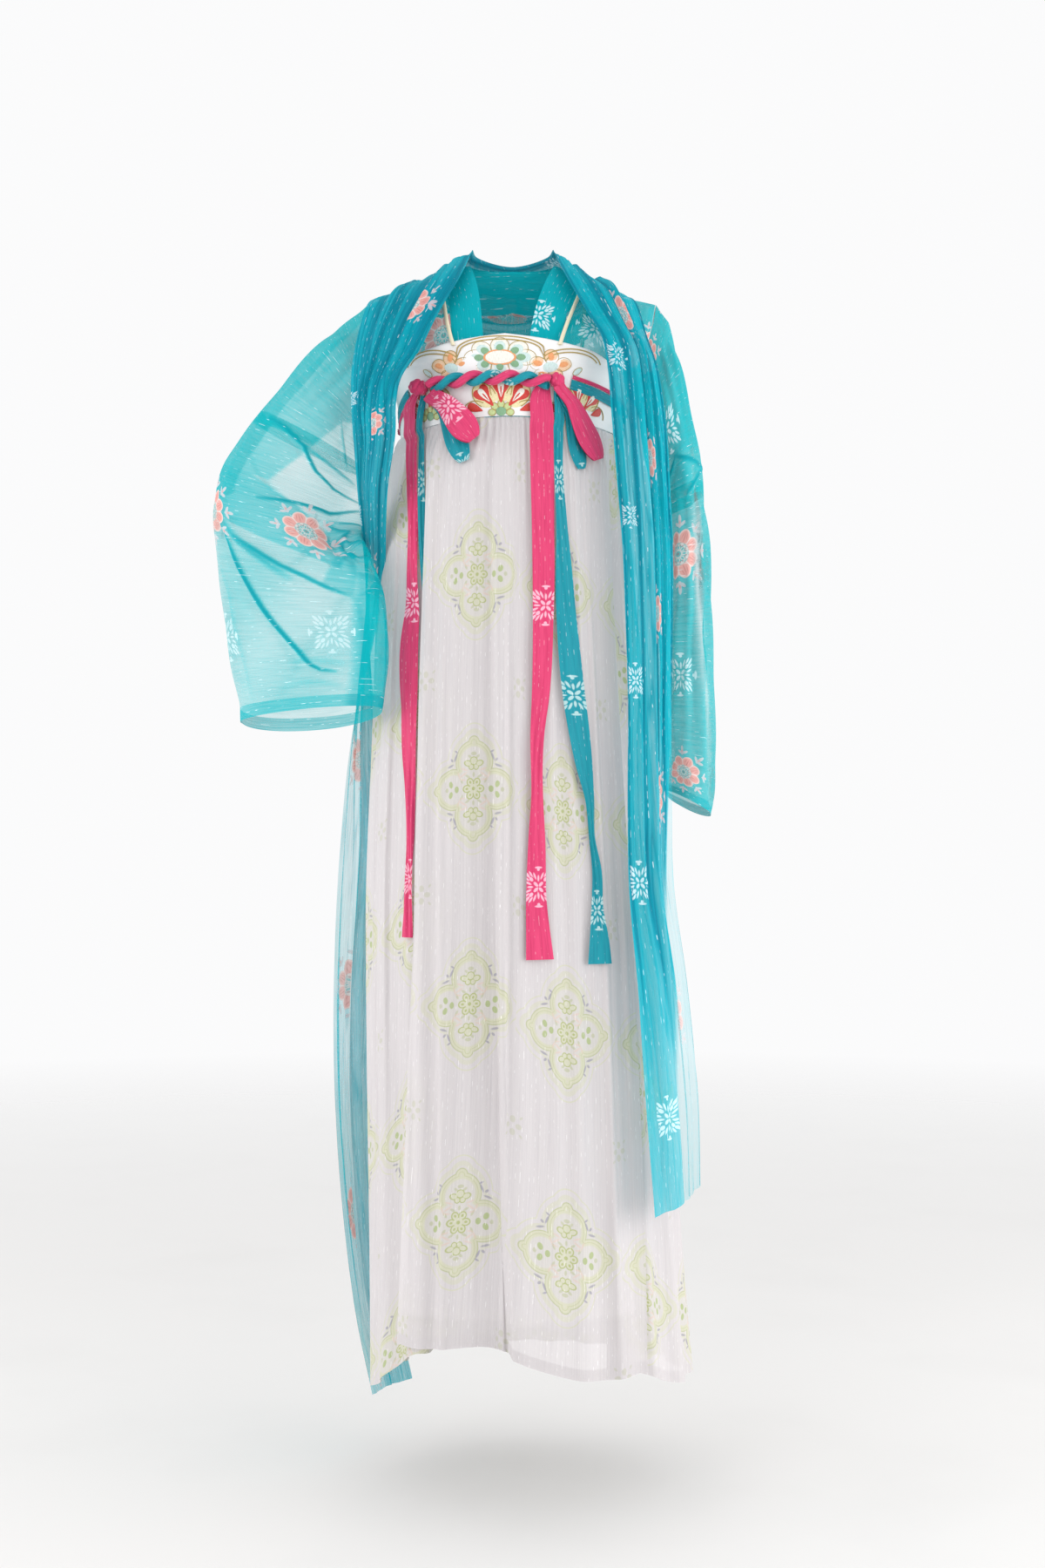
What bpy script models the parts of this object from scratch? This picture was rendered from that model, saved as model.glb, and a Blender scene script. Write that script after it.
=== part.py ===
"""A worn Tang-style hanfu set, kept in its hollow worn shape: a teal chiffon shirt with wide
sleeves, a white chest-high skirt with an embroidered band, straps and paired ties, and a long
teal shawl round the neck.

Metres, +Z up, the front faces -Y. The origin is midway between the shoulders, where the wearer
holds the set up. "Right" and "left" in names are the wearer's: the right sleeve is at -X.

Every layer is worked out from one general figure (FIGURE) and one skirt outline (SKIRT): a piece
that lies on another is made from the same surface, moved out by a lift.
"""

import math

import bmesh
import bpy
import numpy as np

# ---- driving sizes ----------------------------------------------------------------------------

WALL = 0.0012  # the cloth's thickness
SEAM = 0.0008  # from edge to edge where two pieces are sewn together
SHIRT_HEM_Z = -0.46
NECK_HALF_WIDTH = 0.052  # from the middle to the collar's inner edge on the shoulder
COLLAR_WIDTH = 0.036
COLLAR_DROP = 0.058  # how far the collar's outer edge lies below the shoulder line behind
SHOULDER_ROUND = 0.075  # the height over which the shoulder rounds over
UNDERARM_Z = -0.130

FRONT_TURN = -3.0  # degrees: the band's and the collar's middle, from straight ahead
COLLAR_LEAN = 0.006  # the same turn, as a distance at the chest

BAND_LIFT = 0.0085  # of the chest band over the shirt
BAND_BOTTOM_Z = -0.1800  # in the middle of the front
BAND_BOTTOM_DROP = 0.0130  # how much lower the band ends under the arms
BAND_SIDE_Z = -0.141  # the band's top edge under the arms and behind

LINING_HEM_Z = -1.232
LINING_LIFT = -0.0055
FRONT_LIFT = 0.0125  # of the front panel over the back panel, where the two overlap
HEM_Z = -1.36

TIE_Z = -0.1365
SHAWL_FOLDS = 3.5  # waves across the gathered shawl

TEAL = (0.004, 0.36, 0.43, 1)
PINK = (0.82, 0.05, 0.19, 1)
WHITE = (0.84, 0.83, 0.84, 1)
SATIN = (0.86, 0.85, 0.84, 1)
CREAM = (0.80, 0.70, 0.42, 1)

# ---- tables -----------------------------------------------------------------------------------

# The general figure under the clothes: half width, and depth to the front and to the back.
FIGURE = {
    "z": (0.050, -0.020, -0.060, -0.100, -0.130, -0.160, -0.190, -0.280, -0.370, -0.480),
    "half_width": (0.225, 0.214, 0.198, 0.168, 0.139, 0.1305, 0.1285, 0.120, 0.116, 0.138),
    "front": (0.040, 0.066, 0.088, 0.104, 0.110, 0.112, 0.110, 0.096, 0.090, 0.096),
    "back": (0.050, 0.064, 0.078, 0.088, 0.092, 0.092, 0.090, 0.084, 0.080, 0.096),
}

# The shoulder line, from the middle outwards.
SHOULDER = {
    "x": (0.000, 0.050, 0.075, 0.100, 0.130, 0.160, 0.178, 0.230),
    "z": (0.040, 0.026, 0.013, 0.000, -0.0125, -0.0180, -0.0225, -0.0400),
}

# Where the sleeves are sewn on.
ARMHOLE = {
    "z": (-0.020, -0.060, -0.100, UNDERARM_Z),
    "x": (0.178, 0.170, 0.156, 0.139),
}

# The collar's inner edge, from the hem up to the shoulder.
COLLAR_EDGE = {
    "z": (SHIRT_HEM_Z, -0.180, -0.085, -0.020, 0.027),
    "x": (0.0270, 0.0270, 0.0280, 0.0385, NECK_HALF_WIDTH),
}

# The front band's top edge: an arch that drops under the arms.
BAND_TOP = {
    "angle": (0.0, 19.0, 30.0, 43.0, 51.0, 60.0, 69.0, 80.0, 90.0),
    "z": (-0.0800, -0.0870, -0.0925, -0.1005, -0.1090, -0.1175, -0.1275, -0.1370, BAND_SIDE_Z),
}

# The skirt's outline without its folds, at the back panel.
SKIRT = {
    "z": (-0.180, -0.205, -0.290, -0.400, -0.540, -0.720, -0.940, -1.156, -1.264, -1.370),
    "left": (0.1370, 0.143, 0.151, 0.156, 0.163, 0.173, 0.172, 0.168, 0.167, 0.166),
    "right": (0.1370, 0.1378, 0.142, 0.149, 0.160, 0.175, 0.187, 0.197, 0.204, 0.212),
    "front": (0.1185, 0.119, 0.121, 0.123, 0.125, 0.130, 0.138, 0.150, 0.158, 0.166),
    "back": (0.0985, 0.101, 0.106, 0.111, 0.118, 0.129, 0.142, 0.155, 0.161, 0.167),
}

# The side edges of the front panel, seen from the front.
FRONT_EDGES = {
    "z": (-0.184, -0.300, -0.400, -0.500, -0.600, -0.700, -0.800, -0.930, -1.050, -1.150, -1.300),
    "left": (-0.0995, -0.1030, -0.1065, -0.1098, -0.1120, -0.1145, -0.1160, -0.1215, -0.1256,
             -0.1300, -0.1365),
    "right": (0.1140, 0.1180, 0.1220, 0.1270, 0.1325, 0.1385, 0.1440, 0.1500, 0.1550, 0.1580, 0.1600),
}
PANEL_OVERLAP = 15.0  # degrees of the back panel under each edge of the front panel

# The hems' heights round the skirt, by the angle from the middle of the front.
FRONT_HEM = {
    "angle": (-50.0, -30.0, -8.0, -1.0, 6.0, 18.0, 50.0),
    "z": (-1.279, -1.275, -1.269, -1.274, -1.286, -1.303, -1.310),
}
BACK_HEM = {
    "angle": (10.0, 45.0, 62.0, 90.0, 180.0, 262.0, 275.0, 297.0, 316.0, 350.0),
    "z": (-1.300, -1.312, -1.334, -1.343, -1.350, -1.357, -1.356, -1.330, -1.292, -1.280),
}

# The largest folds: angles at the band and at the hem, half width in degrees, height at the hem.
MAIN_FOLDS = (
    {"top": -44.0, "hem": -37.0, "half": 8.0, "height": 0.009},
    {"top": -24.0, "hem": -22.0, "half": 7.0, "height": 0.009},
    {"top": 24.0, "hem": 22.0, "half": 6.0, "height": 0.008},
    {"top": 33.0, "hem": 36.0, "half": 5.0, "height": 0.011},
    {"top": 44.0, "hem": 52.0, "half": 6.0, "height": 0.013},
    {"top": 57.0, "hem": 70.0, "half": 7.0, "height": 0.013},
    {"top": 80.0, "hem": 90.0, "half": 7.0, "height": 0.013},
    {"top": -64.0, "hem": -61.0, "half": 7.0, "height": 0.012},
    {"top": -82.0, "hem": -81.0, "half": 7.0, "height": 0.010},
)
# The deep fold in the middle: its steep side's angle, and how gently its other side falls.
DEEP_FOLD = {"top": -9.0, "hem": -1.0, "steep": 3.0, "gentle": 21.0, "height": 0.030}
BACK_FOLD_COUNT = 11
BACK_FOLDS_FROM = 112.0
BACK_FOLDS_TO = 262.0

# Sleeves, from the second section on: where the outer and the inner edge run, the half depth.
RIGHT_SLEEVE = {
    "step": (0.08, 0.2, 0.3, 0.4, 0.5, 0.58, 0.67, 0.79, 0.9, 1.0),
    "outer_x": (-0.196, -0.239, -0.287, -0.335, -0.362, -0.372, -0.370, -0.358, -0.346, -0.335),
    "outer_y": (0.004, 0.010, 0.018, 0.026, 0.030, 0.030, 0.028, 0.018, 0.008, 0.000),
    "outer_z": (-0.036, -0.071, -0.1225, -0.181, -0.224, -0.267, -0.315, -0.401, -0.476, -0.541),
    "inner_x": (-0.154, -0.166, -0.178, -0.188, -0.196, -0.198, -0.165, -0.151, -0.1495, -0.156),
    "inner_y": (0.000, 0.000, -0.002, -0.006, -0.012, -0.036, -0.088, -0.105, -0.109, -0.109),
    "inner_z": (-0.138, -0.166, -0.203, -0.245, -0.285, -0.318, -0.357, -0.409, -0.470, -0.525),
    "half_depth": (0.058, 0.060, 0.062, 0.060, 0.054, 0.045, 0.039, 0.036, 0.034, 0.032),
}
RIGHT_SLEEVE_SEAM = 0.36
LEFT_SLEEVE = {
    "step": (0.08, 0.2, 0.3, 0.4, 0.5, 0.6, 0.7, 0.8, 0.9, 1.0),
    "outer_x": (0.194, 0.212, 0.229, 0.239, 0.245, 0.249, 0.252, 0.254, 0.253, 0.249),
    "outer_y": (0.002, 0.006, 0.012, 0.016, 0.018, 0.020, 0.020, 0.020, 0.020, 0.020),
    "outer_z": (-0.044, -0.112, -0.200, -0.280, -0.350, -0.421, -0.490, -0.555, -0.610, -0.655),
    "inner_x": (0.152, 0.163, 0.172, 0.178, 0.181, 0.183, 0.185, 0.187, 0.189, 0.190),
    "inner_y": (0.000, 0.004, 0.008, 0.012, 0.016, 0.020, 0.022, 0.022, 0.022, 0.022),
    "inner_z": (-0.142, -0.182, -0.236, -0.300, -0.360, -0.424, -0.488, -0.546, -0.592, -0.624),
    "half_depth": (0.060, 0.070, 0.078, 0.082, 0.084, 0.084, 0.084, 0.082, 0.080, 0.078),
}
LEFT_SLEEVE_SEAM = 0.36
CUFF_STEP = 0.975  # where the cuff's hem band starts

# The shawl's drops: the edge nearer the middle, and the other edge. "rise" is the folds' height.
RIGHT_DROP = {
    "step": (0.00, 0.05, 0.09, 0.13, 0.17, 0.21, 0.26, 0.31, 0.35, 0.39, 0.45, 0.52, 0.61, 0.71,
             0.82, 0.92, 1.0),
    "near_x": (-0.0490, -0.063, -0.0877, -0.1074, -0.1290, -0.1355, -0.1370, -0.1470, -0.1514,
               -0.1550, -0.170, -0.196, -0.2145, -0.2235, -0.2180, -0.1980, -0.1760),
    "near_y": (-0.0004, -0.064, -0.103, -0.125, -0.134, -0.135, -0.130, -0.110, -0.076, -0.040,
               -0.026, -0.004, 0.016, 0.026, 0.030, 0.036, 0.045),
    "near_z": (0.0470, -0.002, -0.055, -0.101, -0.136, -0.165, -0.205, -0.264, -0.306, -0.352,
               -0.440, -0.540, -0.690, -0.880, -1.080, -1.270, -1.386),
    "far_x": (-0.1600, -0.176, -0.186, -0.191, -0.191, -0.190, -0.188, -0.185, -0.1830, -0.181,
              -0.178, -0.172, -0.162, -0.172, -0.172, -0.157, -0.131),
    "far_y": (-0.0004, -0.046, -0.080, -0.100, -0.106, -0.106, -0.100, -0.072, -0.034, 0.006,
              0.026, 0.052, 0.076, 0.098, 0.114, 0.126, 0.134),
    "far_z": (-0.0157, -0.031, -0.080, -0.124, -0.158, -0.180, -0.214, -0.268, -0.308, -0.354,
              -0.444, -0.544, -0.690, -0.880, -1.078, -1.268, -1.390),
    "rise": (0.0045, 0.005, 0.005, 0.0048, 0.0045, 0.0042, 0.0038, 0.0032, 0.003, 0.003, 0.0034,
             0.004, 0.0045, 0.005, 0.005, 0.005, 0.005),
    "bow": (0.001, 0.004, 0.008, 0.010, 0.010, 0.010, 0.010, 0.010, 0.008, 0.008, 0.008, 0.010, 0.010,
            0.010, 0.010, 0.010, 0.010),
}
LEFT_DROP = {
    "step": (0.00, 0.05, 0.09, 0.13, 0.18, 0.24, 0.31, 0.38, 0.47, 0.56, 0.65, 0.73, 0.82, 0.91, 1.0),
    "near_x": (0.0510, 0.0659, 0.0885, 0.1057, 0.1135, 0.1177, 0.1247, 0.1300, 0.1340, 0.1370,
               0.1365, 0.1380, 0.1490, 0.1585, 0.1680),
    "near_y": (-0.0004, -0.060, -0.100, -0.125, -0.135, -0.138, -0.136, -0.135, -0.137, -0.140,
               -0.142, -0.144, -0.148, -0.154, -0.160),
    "near_z": (0.0470, 0.000, -0.050, -0.085, -0.130, -0.185, -0.267, -0.328, -0.420, -0.520,
               -0.625, -0.735, -0.860, -1.000, -1.121),
    "far_x": (0.1350, 0.152, 0.163, 0.173, 0.180, 0.185, 0.189, 0.192, 0.192, 0.191, 0.191, 0.194,
              0.212, 0.227, 0.2305),
    "far_y": (-0.0004, -0.046, -0.082, -0.102, -0.112, -0.112, -0.108, -0.106, -0.104, -0.104,
              -0.100, -0.090, -0.050, -0.030, -0.020),
    "far_z": (-0.0105, -0.029, -0.078, -0.115, -0.160, -0.206, -0.275, -0.334, -0.424, -0.522,
              -0.626, -0.735, -0.856, -0.992, -1.109),
    "rise": (0.0045, 0.005, 0.005, 0.0048, 0.0045, 0.0042, 0.0042, 0.0042, 0.0042, 0.0042, 0.0042,
             0.0045, 0.005, 0.006, 0.007),
    "bow": (0.001, 0.004, 0.008, 0.010, 0.010, 0.010, 0.010, 0.010, 0.010, 0.010, 0.010, 0.010, 0.010,
            0.010, 0.010),
}
# Round the back of the neck, from the right drop to the left one.
SHAWL_NECK = {
    "step": (0.0, 0.2, 0.5, 0.8, 1.0),
    "near_x": (-0.049, -0.044, 0.000, 0.044, 0.051),
    "near_y": (0.0004, 0.040, 0.072, 0.040, 0.0004),
    "near_z": (0.047, 0.047, 0.043, 0.047, 0.047),
    "far_x": (-0.160, -0.128, 0.000, 0.112, 0.135),
    "far_y": (0.0004, 0.085, 0.112, 0.082, 0.0004),
    "far_z": (-0.0157, -0.044, -0.068, -0.036, -0.0105),
    "rise": (0.0045, 0.0050, 0.0050, 0.0050, 0.0045),
    "bow": (0.001, 0.008, 0.010, 0.008, 0.001),
}

# Tails of the ties: their middle from side to side, width, and lift over the panel they lie on.
RIGHT_PINK_TAIL = {
    "z": (-0.154, -0.178, -0.219, -0.261, -0.303, -0.365, -0.407, -0.449, -0.532, -0.574, -0.616,
          -0.680, -0.740, -0.798),
    "x": (-0.1170, -0.1180, -0.1194, -0.1184, -0.1173, -0.1180, -0.1180, -0.1215, -0.1220, -0.1213,
          -0.1200, -0.1200, -0.1215, -0.1230),
    "width": (0.013, 0.0145, 0.0146, 0.0125, 0.0104, 0.0140, 0.0180, 0.0215, 0.0200, 0.0175, 0.0120,
              0.0095, 0.0100, 0.0115),
}
RIGHT_TEAL_TAIL = {
    "z": (-0.168, -0.200, -0.260, -0.330, -0.407, -0.470),
    "x": (-0.1050, -0.1062, -0.1068, -0.1050, -0.1010, -0.0980),
    "width": (0.0080, 0.0080, 0.0080, 0.0085, 0.0080, 0.0080),
}
LEFT_PINK_TAIL = {
    "z": (-0.1520, -0.185, -0.230, -0.310, -0.410, -0.514, -0.555, -0.636, -0.676, -0.757, -0.798, -0.820),
    "x": (0.0345, 0.0350, 0.0356, 0.0370, 0.0372, 0.0340, 0.0302, 0.0300, 0.0297, 0.0292, 0.0318, 0.0333),
    "width": (0.022, 0.0270, 0.0275, 0.0265, 0.0245, 0.0205, 0.0162, 0.0145, 0.0193, 0.0243, 0.0294,
              0.0325),
}
LEFT_TEAL_TAIL = {
    "z": (-0.172, -0.249, -0.310, -0.400, -0.463, -0.5545, -0.595, -0.636, -0.677, -0.7175, -0.758,
          -0.7985, -0.827),
    "x": (0.0540, 0.0552, 0.0590, 0.0630, 0.0680, 0.0790, 0.0850, 0.0918, 0.0943, 0.0995, 0.1001, 0.1030,
          0.1037),
    "width": (0.0100, 0.0100, 0.0140, 0.0220, 0.0265, 0.0245, 0.0200, 0.0115, 0.0075, 0.0105, 0.0135,
              0.0235, 0.0285),
}
TAIL_LIFT = 0.0052

# Loops of the bows: where each leaves its knot, which way it hangs, its length, its widths, and
# how far its two layers stand from what they lie on.
BOW_LOOPS = (
    {"name": "bow_right_pink", "at": (-0.0910, -0.1560), "turn": 52.0, "length": 0.074,
     "neck": 0.014, "width": 0.034, "low": 0.0084, "high": 0.0155, "colour": PINK},
    {"name": "bow_right_teal", "at": (-0.0870, -0.1580), "turn": 72.0, "length": 0.078,
     "neck": 0.012, "width": 0.028, "low": 0.0027, "high": 0.0064, "colour": TEAL},
    {"name": "bow_left_pink", "at": (0.0640, -0.1450), "turn": 65.0, "length": 0.090,
     "neck": 0.014, "width": 0.028, "low": 0.0088, "high": 0.0155, "colour": PINK},
    {"name": "bow_left_teal", "at": (0.0650, -0.1570), "turn": 78.0, "length": 0.084,
     "neck": 0.009, "width": 0.020, "low": 0.0031, "high": 0.0068, "colour": TEAL},
)
KNOTS = (
    {"name": "knot_right", "x": -0.1040, "z": -0.1410, "size": (0.0115, 0.0080, 0.0095),
     "out": 0.0113, "colour": PINK},
    {"name": "knot_left", "x": 0.0510, "z": -0.1385, "size": (0.0088, 0.0077, 0.0095),
     "out": 0.0095, "colour": PINK},
)
TWIST_FROM_X = -0.0912
TWIST_TO_X = 0.0410
TWIST_TURNS = 3.25
TWIST_ARCH = 0.0045  # how much lower the twist's ends are than its middle
TWIST_RADIUS = 0.0043  # of each of the two rolled ties
TWIST_OFFSET = 0.0047  # of each rolled tie from the twist's axis
TWIST_OUT = 0.0108  # of the twist's axis from the band

# Flat ties round the chest: which side of the band, angles, heights, width and lift.
TIE_WRAPS = (
    {"name": "tie_wrap_right_teal", "side": "front", "angle": (-88.5, -60.0), "z": (-0.1680, -0.1440),
     "width": 0.0120, "lift": 0.0022, "colour": TEAL},
    {"name": "tie_wrap_right_pink", "side": "front", "angle": (-88.5, -60.0), "z": (-0.1785, -0.1540),
     "width": 0.0070, "lift": 0.0022, "colour": PINK},
    {"name": "tie_wrap_left_teal", "side": "front", "angle": (29.0, 88.5), "z": (-0.1405, -0.1680),
     "width": 0.0120, "lift": 0.0022, "colour": TEAL},
    {"name": "tie_wrap_left_pink", "side": "front", "angle": (29.0, 88.5), "z": (-0.1318, -0.1585),
     "width": 0.0045, "lift": 0.0030, "colour": PINK},
    {"name": "tie_wrap_back_teal", "side": "back", "angle": (-88.5, 88.5), "z": (-0.1680, -0.1680),
     "width": 0.0120, "lift": 0.0022, "colour": TEAL},
    {"name": "tie_wrap_back_pink", "side": "back", "angle": (-88.5, 88.5), "z": (-0.1785, -0.1585),
     "width": 0.0070, "lift": 0.0041, "colour": PINK},
)

# How many points a sheet gets across and along.
SKIRT_FRONT_ACROSS = 38
SKIRT_BACK_ACROSS = 62
SKIRT_ROWS = (0.0, 0.030, 0.070, 0.140, 0.270, 0.460, 0.710, 1.0)
SLEEVE_RING = 20
SHAWL_ACROSS = 21


# ---- reading the tables -----------------------------------------------------------------------


def smooth_read(table, key, column, at):
    """A column of a table at any place along its key, on smooth curves through the rows."""
    places = np.array(table[key], float)
    values = np.array(table[column], float)
    if places[0] > places[-1]:
        places = places[::-1]
        values = values[::-1]
    at = min(max(at, places[0]), places[-1])
    slopes = np.gradient(values, places)
    i = int(min(max(np.searchsorted(places, at) - 1, 0), len(places) - 2))
    span = places[i + 1] - places[i]
    t = (at - places[i]) / span
    return float(
        (2 * t**3 - 3 * t**2 + 1) * values[i]
        + (t**3 - 2 * t**2 + t) * span * slopes[i]
        + (3 * t**2 - 2 * t**3) * values[i + 1]
        + (t**3 - t**2) * span * slopes[i + 1]
    )


def edge_point(table, edge, at):
    """The point of a named edge ("outer", "near" ...) of a table with a step column."""
    return np.array([smooth_read(table, "step", f"{edge}_{axis}", at) for axis in "xyz"])


def ease(value):
    """0 below 0, 1 above 1, and a smooth step between."""
    t = min(max(value, 0.0), 1.0)
    return t * t * (3 - 2 * t)


def mix(a, b, share):
    return a + (b - a) * share


# ---- making objects ---------------------------------------------------------------------------


def material(name, colour, roughness):
    made = bpy.data.materials.new(name)
    made.use_nodes = True
    shader = made.node_tree.nodes["Principled BSDF"]
    shader.inputs["Base Color"].default_value = colour
    shader.inputs["Roughness"].default_value = roughness
    shader.inputs["Metallic"].default_value = 0.0
    return made


def add_object(name, data, colour, roughness=0.75):
    made = bpy.data.objects.new(name, data)
    data.materials.append(material(name + "_cloth", colour, roughness))
    garment.objects.link(made)
    return made


def cloth(name, grid, colour, ring=False, wall=WALL):
    """A sheet through a grid of points, made a wall by Solidify. A ring closes across."""
    along, across = len(grid), len(grid[0])
    corners = [tuple(point) for row in grid for point in row]
    faces = []
    for j in range(along - 1):
        for i in range(across if ring else across - 1):
            k = (i + 1) % across
            faces.append((j * across + i, j * across + k, (j + 1) * across + k, (j + 1) * across + i))
    mesh = bpy.data.meshes.new(name)
    mesh.from_pydata(corners, [], faces)
    mesh.shade_smooth()
    made = add_object(name, mesh, colour)
    solid = made.modifiers.new("wall", "SOLIDIFY")
    solid.thickness = wall
    solid.offset = 0.0
    solid.use_rim = True
    return made


def rolled(name, points, radius, colour):
    """A rolled tie along points, as a curve with a bevel."""
    curve = bpy.data.curves.new(name, "CURVE")
    curve.dimensions = "3D"
    curve.bevel_depth = radius
    curve.bevel_resolution = 2
    curve.use_fill_caps = True
    spline = curve.splines.new("POLY")
    spline.points.add(len(points) - 1)
    for place, point in zip(spline.points, points):
        place.co = (*point, 1.0)
    return add_object(name, curve, colour)


def knot(name, centre, size, colour):
    """A pulled knot: a soft lump with one crease round it."""
    mesh = bpy.data.meshes.new(name)
    form = bmesh.new()
    bmesh.ops.create_uvsphere(form, u_segments=14, v_segments=8, radius=1.0)
    for vertex in form.verts:
        crease = 1 - 0.16 * math.exp(-((vertex.co.x + 0.15) / 0.22) ** 2)
        vertex.co.z *= crease
        vertex.co.y *= crease
        vertex.co.x *= size[0]
        vertex.co.y *= size[1]
        vertex.co.z *= size[2]
    form.to_mesh(mesh)
    form.free()
    mesh.shade_smooth()
    made = add_object(name, mesh, colour)
    made.location = centre
    return made


# ---- the figure and the shirt -----------------------------------------------------------------


def shoulder_z(x):
    return smooth_read(SHOULDER, "x", "z", abs(x))


def figure_depth(x, z, side, width_share=None):
    """How far the figure reaches to the front or to the back at a place seen from the front."""
    if width_share is None:
        width_share = min(abs(x) / smooth_read(FIGURE, "z", "half_width", z), 1.0)
    below = min(max((shoulder_z(x) - z) / SHOULDER_ROUND, 0.0), 1.0)
    rounding = math.sqrt(1 - (1 - below) ** 2)
    return smooth_read(FIGURE, "z", side, z) * math.sqrt(1 - width_share**2) * rounding


def figure_point(x, z, side, lift=0.0):
    """A point over the figure, moved out along the level section's own slope."""
    depth = figure_depth(x, z, side)
    half = smooth_read(FIGURE, "z", "half_width", z)
    reach = smooth_read(FIGURE, "z", side, z)
    slope = np.array([x / half**2, depth / reach**2])
    slope = slope / max(np.linalg.norm(slope), 1e-9)
    way = -1.0 if side == "front" else 1.0
    return np.array([x + slope[0] * lift, way * (depth + slope[1] * lift), z])


def row_z(x, down):
    """Rows of the shirt run from the shoulder line (down 0) to the hem (down 1)."""
    return mix(shoulder_z(x), SHIRT_HEM_Z, down)


def armhole_share(z):
    """The share of the figure's half width at which the shirt's body ends."""
    if z <= UNDERARM_Z:
        return 0.99998
    x = smooth_read(ARMHOLE, "z", "x", z)
    return min(x / smooth_read(FIGURE, "z", "half_width", z), 0.99998)


def body_point(inner_x, share, down, side, limit):
    """A point of the shirt's body, at a share of the way from its inner edge to the armhole."""
    x = inner_x + 0.05
    for _ in range(12):
        z = row_z(x, down)
        half = smooth_read(FIGURE, "z", "half_width", z)
        start = math.asin(min(inner_x / half, 1.0))
        angle = mix(start, math.asin(armhole_share(z)) * limit, share)
        x = half * math.sin(angle)
    depth = figure_depth(x, row_z(x, down), side, math.sin(angle))
    return np.array([x, -depth if side == "front" else depth, row_z(x, down)])


def collar_inner_x(down, way):
    """The collar's inner edge; the opening leans to the right at the chest."""
    lean = -way * COLLAR_LEAN * ease(down / 0.25)
    return smooth_read(COLLAR_EDGE, "z", "x", mix(0.027, SHIRT_HEM_Z, down)) + lean


def body_rows():
    """Rows of the body: round the shoulder by equal turns, then down to the hem."""
    rounding = SHOULDER_ROUND / (shoulder_z(0.1) - SHIRT_HEM_Z)
    over = [rounding * (1 - math.cos(math.radians(turn))) for turn in (0.3, 18, 36, 54, 72, 90)]
    return over + [mix(rounding, 1.0, share) for share in (0.09, 0.2, 0.36, 0.55, 0.77, 1.0)]


def build_shirt_front(name, way):
    grid = []
    for down in body_rows():
        inner = collar_inner_x(down, way) + COLLAR_WIDTH + SEAM
        row = [body_point(inner, i / 7, down, "front", 0.9992) for i in range(8)]
        grid.append([(way * p[0], p[1], p[2]) for p in row])
    return cloth(name, grid, TEAL)


def neck_drop(x):
    """How far below the shoulder line the back's neckline runs."""
    reach = NECK_HALF_WIDTH + COLLAR_WIDTH
    return COLLAR_DROP * math.sqrt(max(1 - (x / reach) ** 2, 0.0))


def build_shirt_back():
    """One piece from armhole to armhole, its top edge under the collar."""
    across = 9
    grid = []
    for down in body_rows():
        half_row = []
        for i in range(across):
            point = body_point(0.0, i / (across - 1), down, "back", 0.9992)
            neck = neck_drop(point[0]) + (0.0026 if abs(point[0]) < 0.088 else 0.0)
            lowered = mix(shoulder_z(point[0]) - neck, SHIRT_HEM_Z, down)
            depth = figure_depth(point[0], lowered, "back")
            if i == across - 1:
                depth = point[1]
                lowered = point[2]
            half_row.append(np.array([point[0], depth, lowered]))
        left_half = [np.array([-p[0], p[1], p[2]]) for p in reversed(half_row[1:])]
        grid.append(left_half + half_row)
    return cloth("shirt_back", grid, TEAL)


def collar_front_rows(way):
    rows = []
    for down in reversed(body_rows()):
        inner = collar_inner_x(down, way)
        row = []
        for share in (0.0, 0.5, 1.0):
            x = inner + COLLAR_WIDTH * share
            z = row_z(x, down)
            row.append((way * x, -figure_depth(x, z, "front"), z))
        rows.append(row)
    return rows


def collar_back_rows():
    """From the left shoulder round to the right one."""
    rows = []
    for k in range(1, 12):
        turn = math.radians(90 - 15 * k)
        row = []
        for share in (0.0, 0.5, 1.0):
            x = (NECK_HALF_WIDTH + COLLAR_WIDTH * share) * math.sin(turn)
            drop = neck_drop(x) * share
            outer = np.array([x, figure_depth(x, shoulder_z(x) - drop, "back"), shoulder_z(x) - drop])
            stand = np.array([x, 0.050 * math.cos(turn), 0.0265 + 0.004 * math.cos(turn)])
            row.append(tuple(mix(stand, outer, share**1.3)))
        rows.append(row)
    return rows


def build_collar():
    """One strip from hem to hem round the back of the neck."""
    rows = collar_front_rows(1.0) + collar_back_rows() + list(reversed(collar_front_rows(-1.0)))
    return cloth("shirt_collar", rows, TEAL)


# ---- sleeves ----------------------------------------------------------------------------------


def armhole_ring(way, out):
    """The shirt's armhole as a ring of points, moved out by a seam."""
    top = 0.178
    high = shoulder_z(top)
    ring = []
    for k in range(SLEEVE_RING):
        turn = 2 * math.pi * k / SLEEVE_RING
        z = mix(UNDERARM_Z, high, (math.cos(turn) + 1) / 2)
        x = smooth_read(ARMHOLE, "z", "x", z)
        depth = figure_depth(x, z, "front" if math.sin(turn) > 0 else "back")
        ring.append(np.array([way * (x + out), -math.copysign(depth, math.sin(turn)), z]))
    return ring


def sleeve_ring(table, at):
    """A section of a sleeve: an oval between its outer and its inner edge."""
    outer = edge_point(table, "outer", at)
    inner = edge_point(table, "inner", at)
    half_depth = smooth_read(table, "step", "half_depth", at)
    axis = (outer - inner) / np.linalg.norm(outer - inner)
    front = np.array([0.0, -1.0, 0.0])
    front = front - axis * float(front @ axis)
    front = front / np.linalg.norm(front)
    ring = []
    for k in range(SLEEVE_RING):
        turn = 2 * math.pi * k / SLEEVE_RING
        along = (outer + inner) / 2 + (outer - inner) / 2 * math.cos(turn)
        ring.append(along + front * half_depth * math.sin(turn))
    return ring


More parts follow.
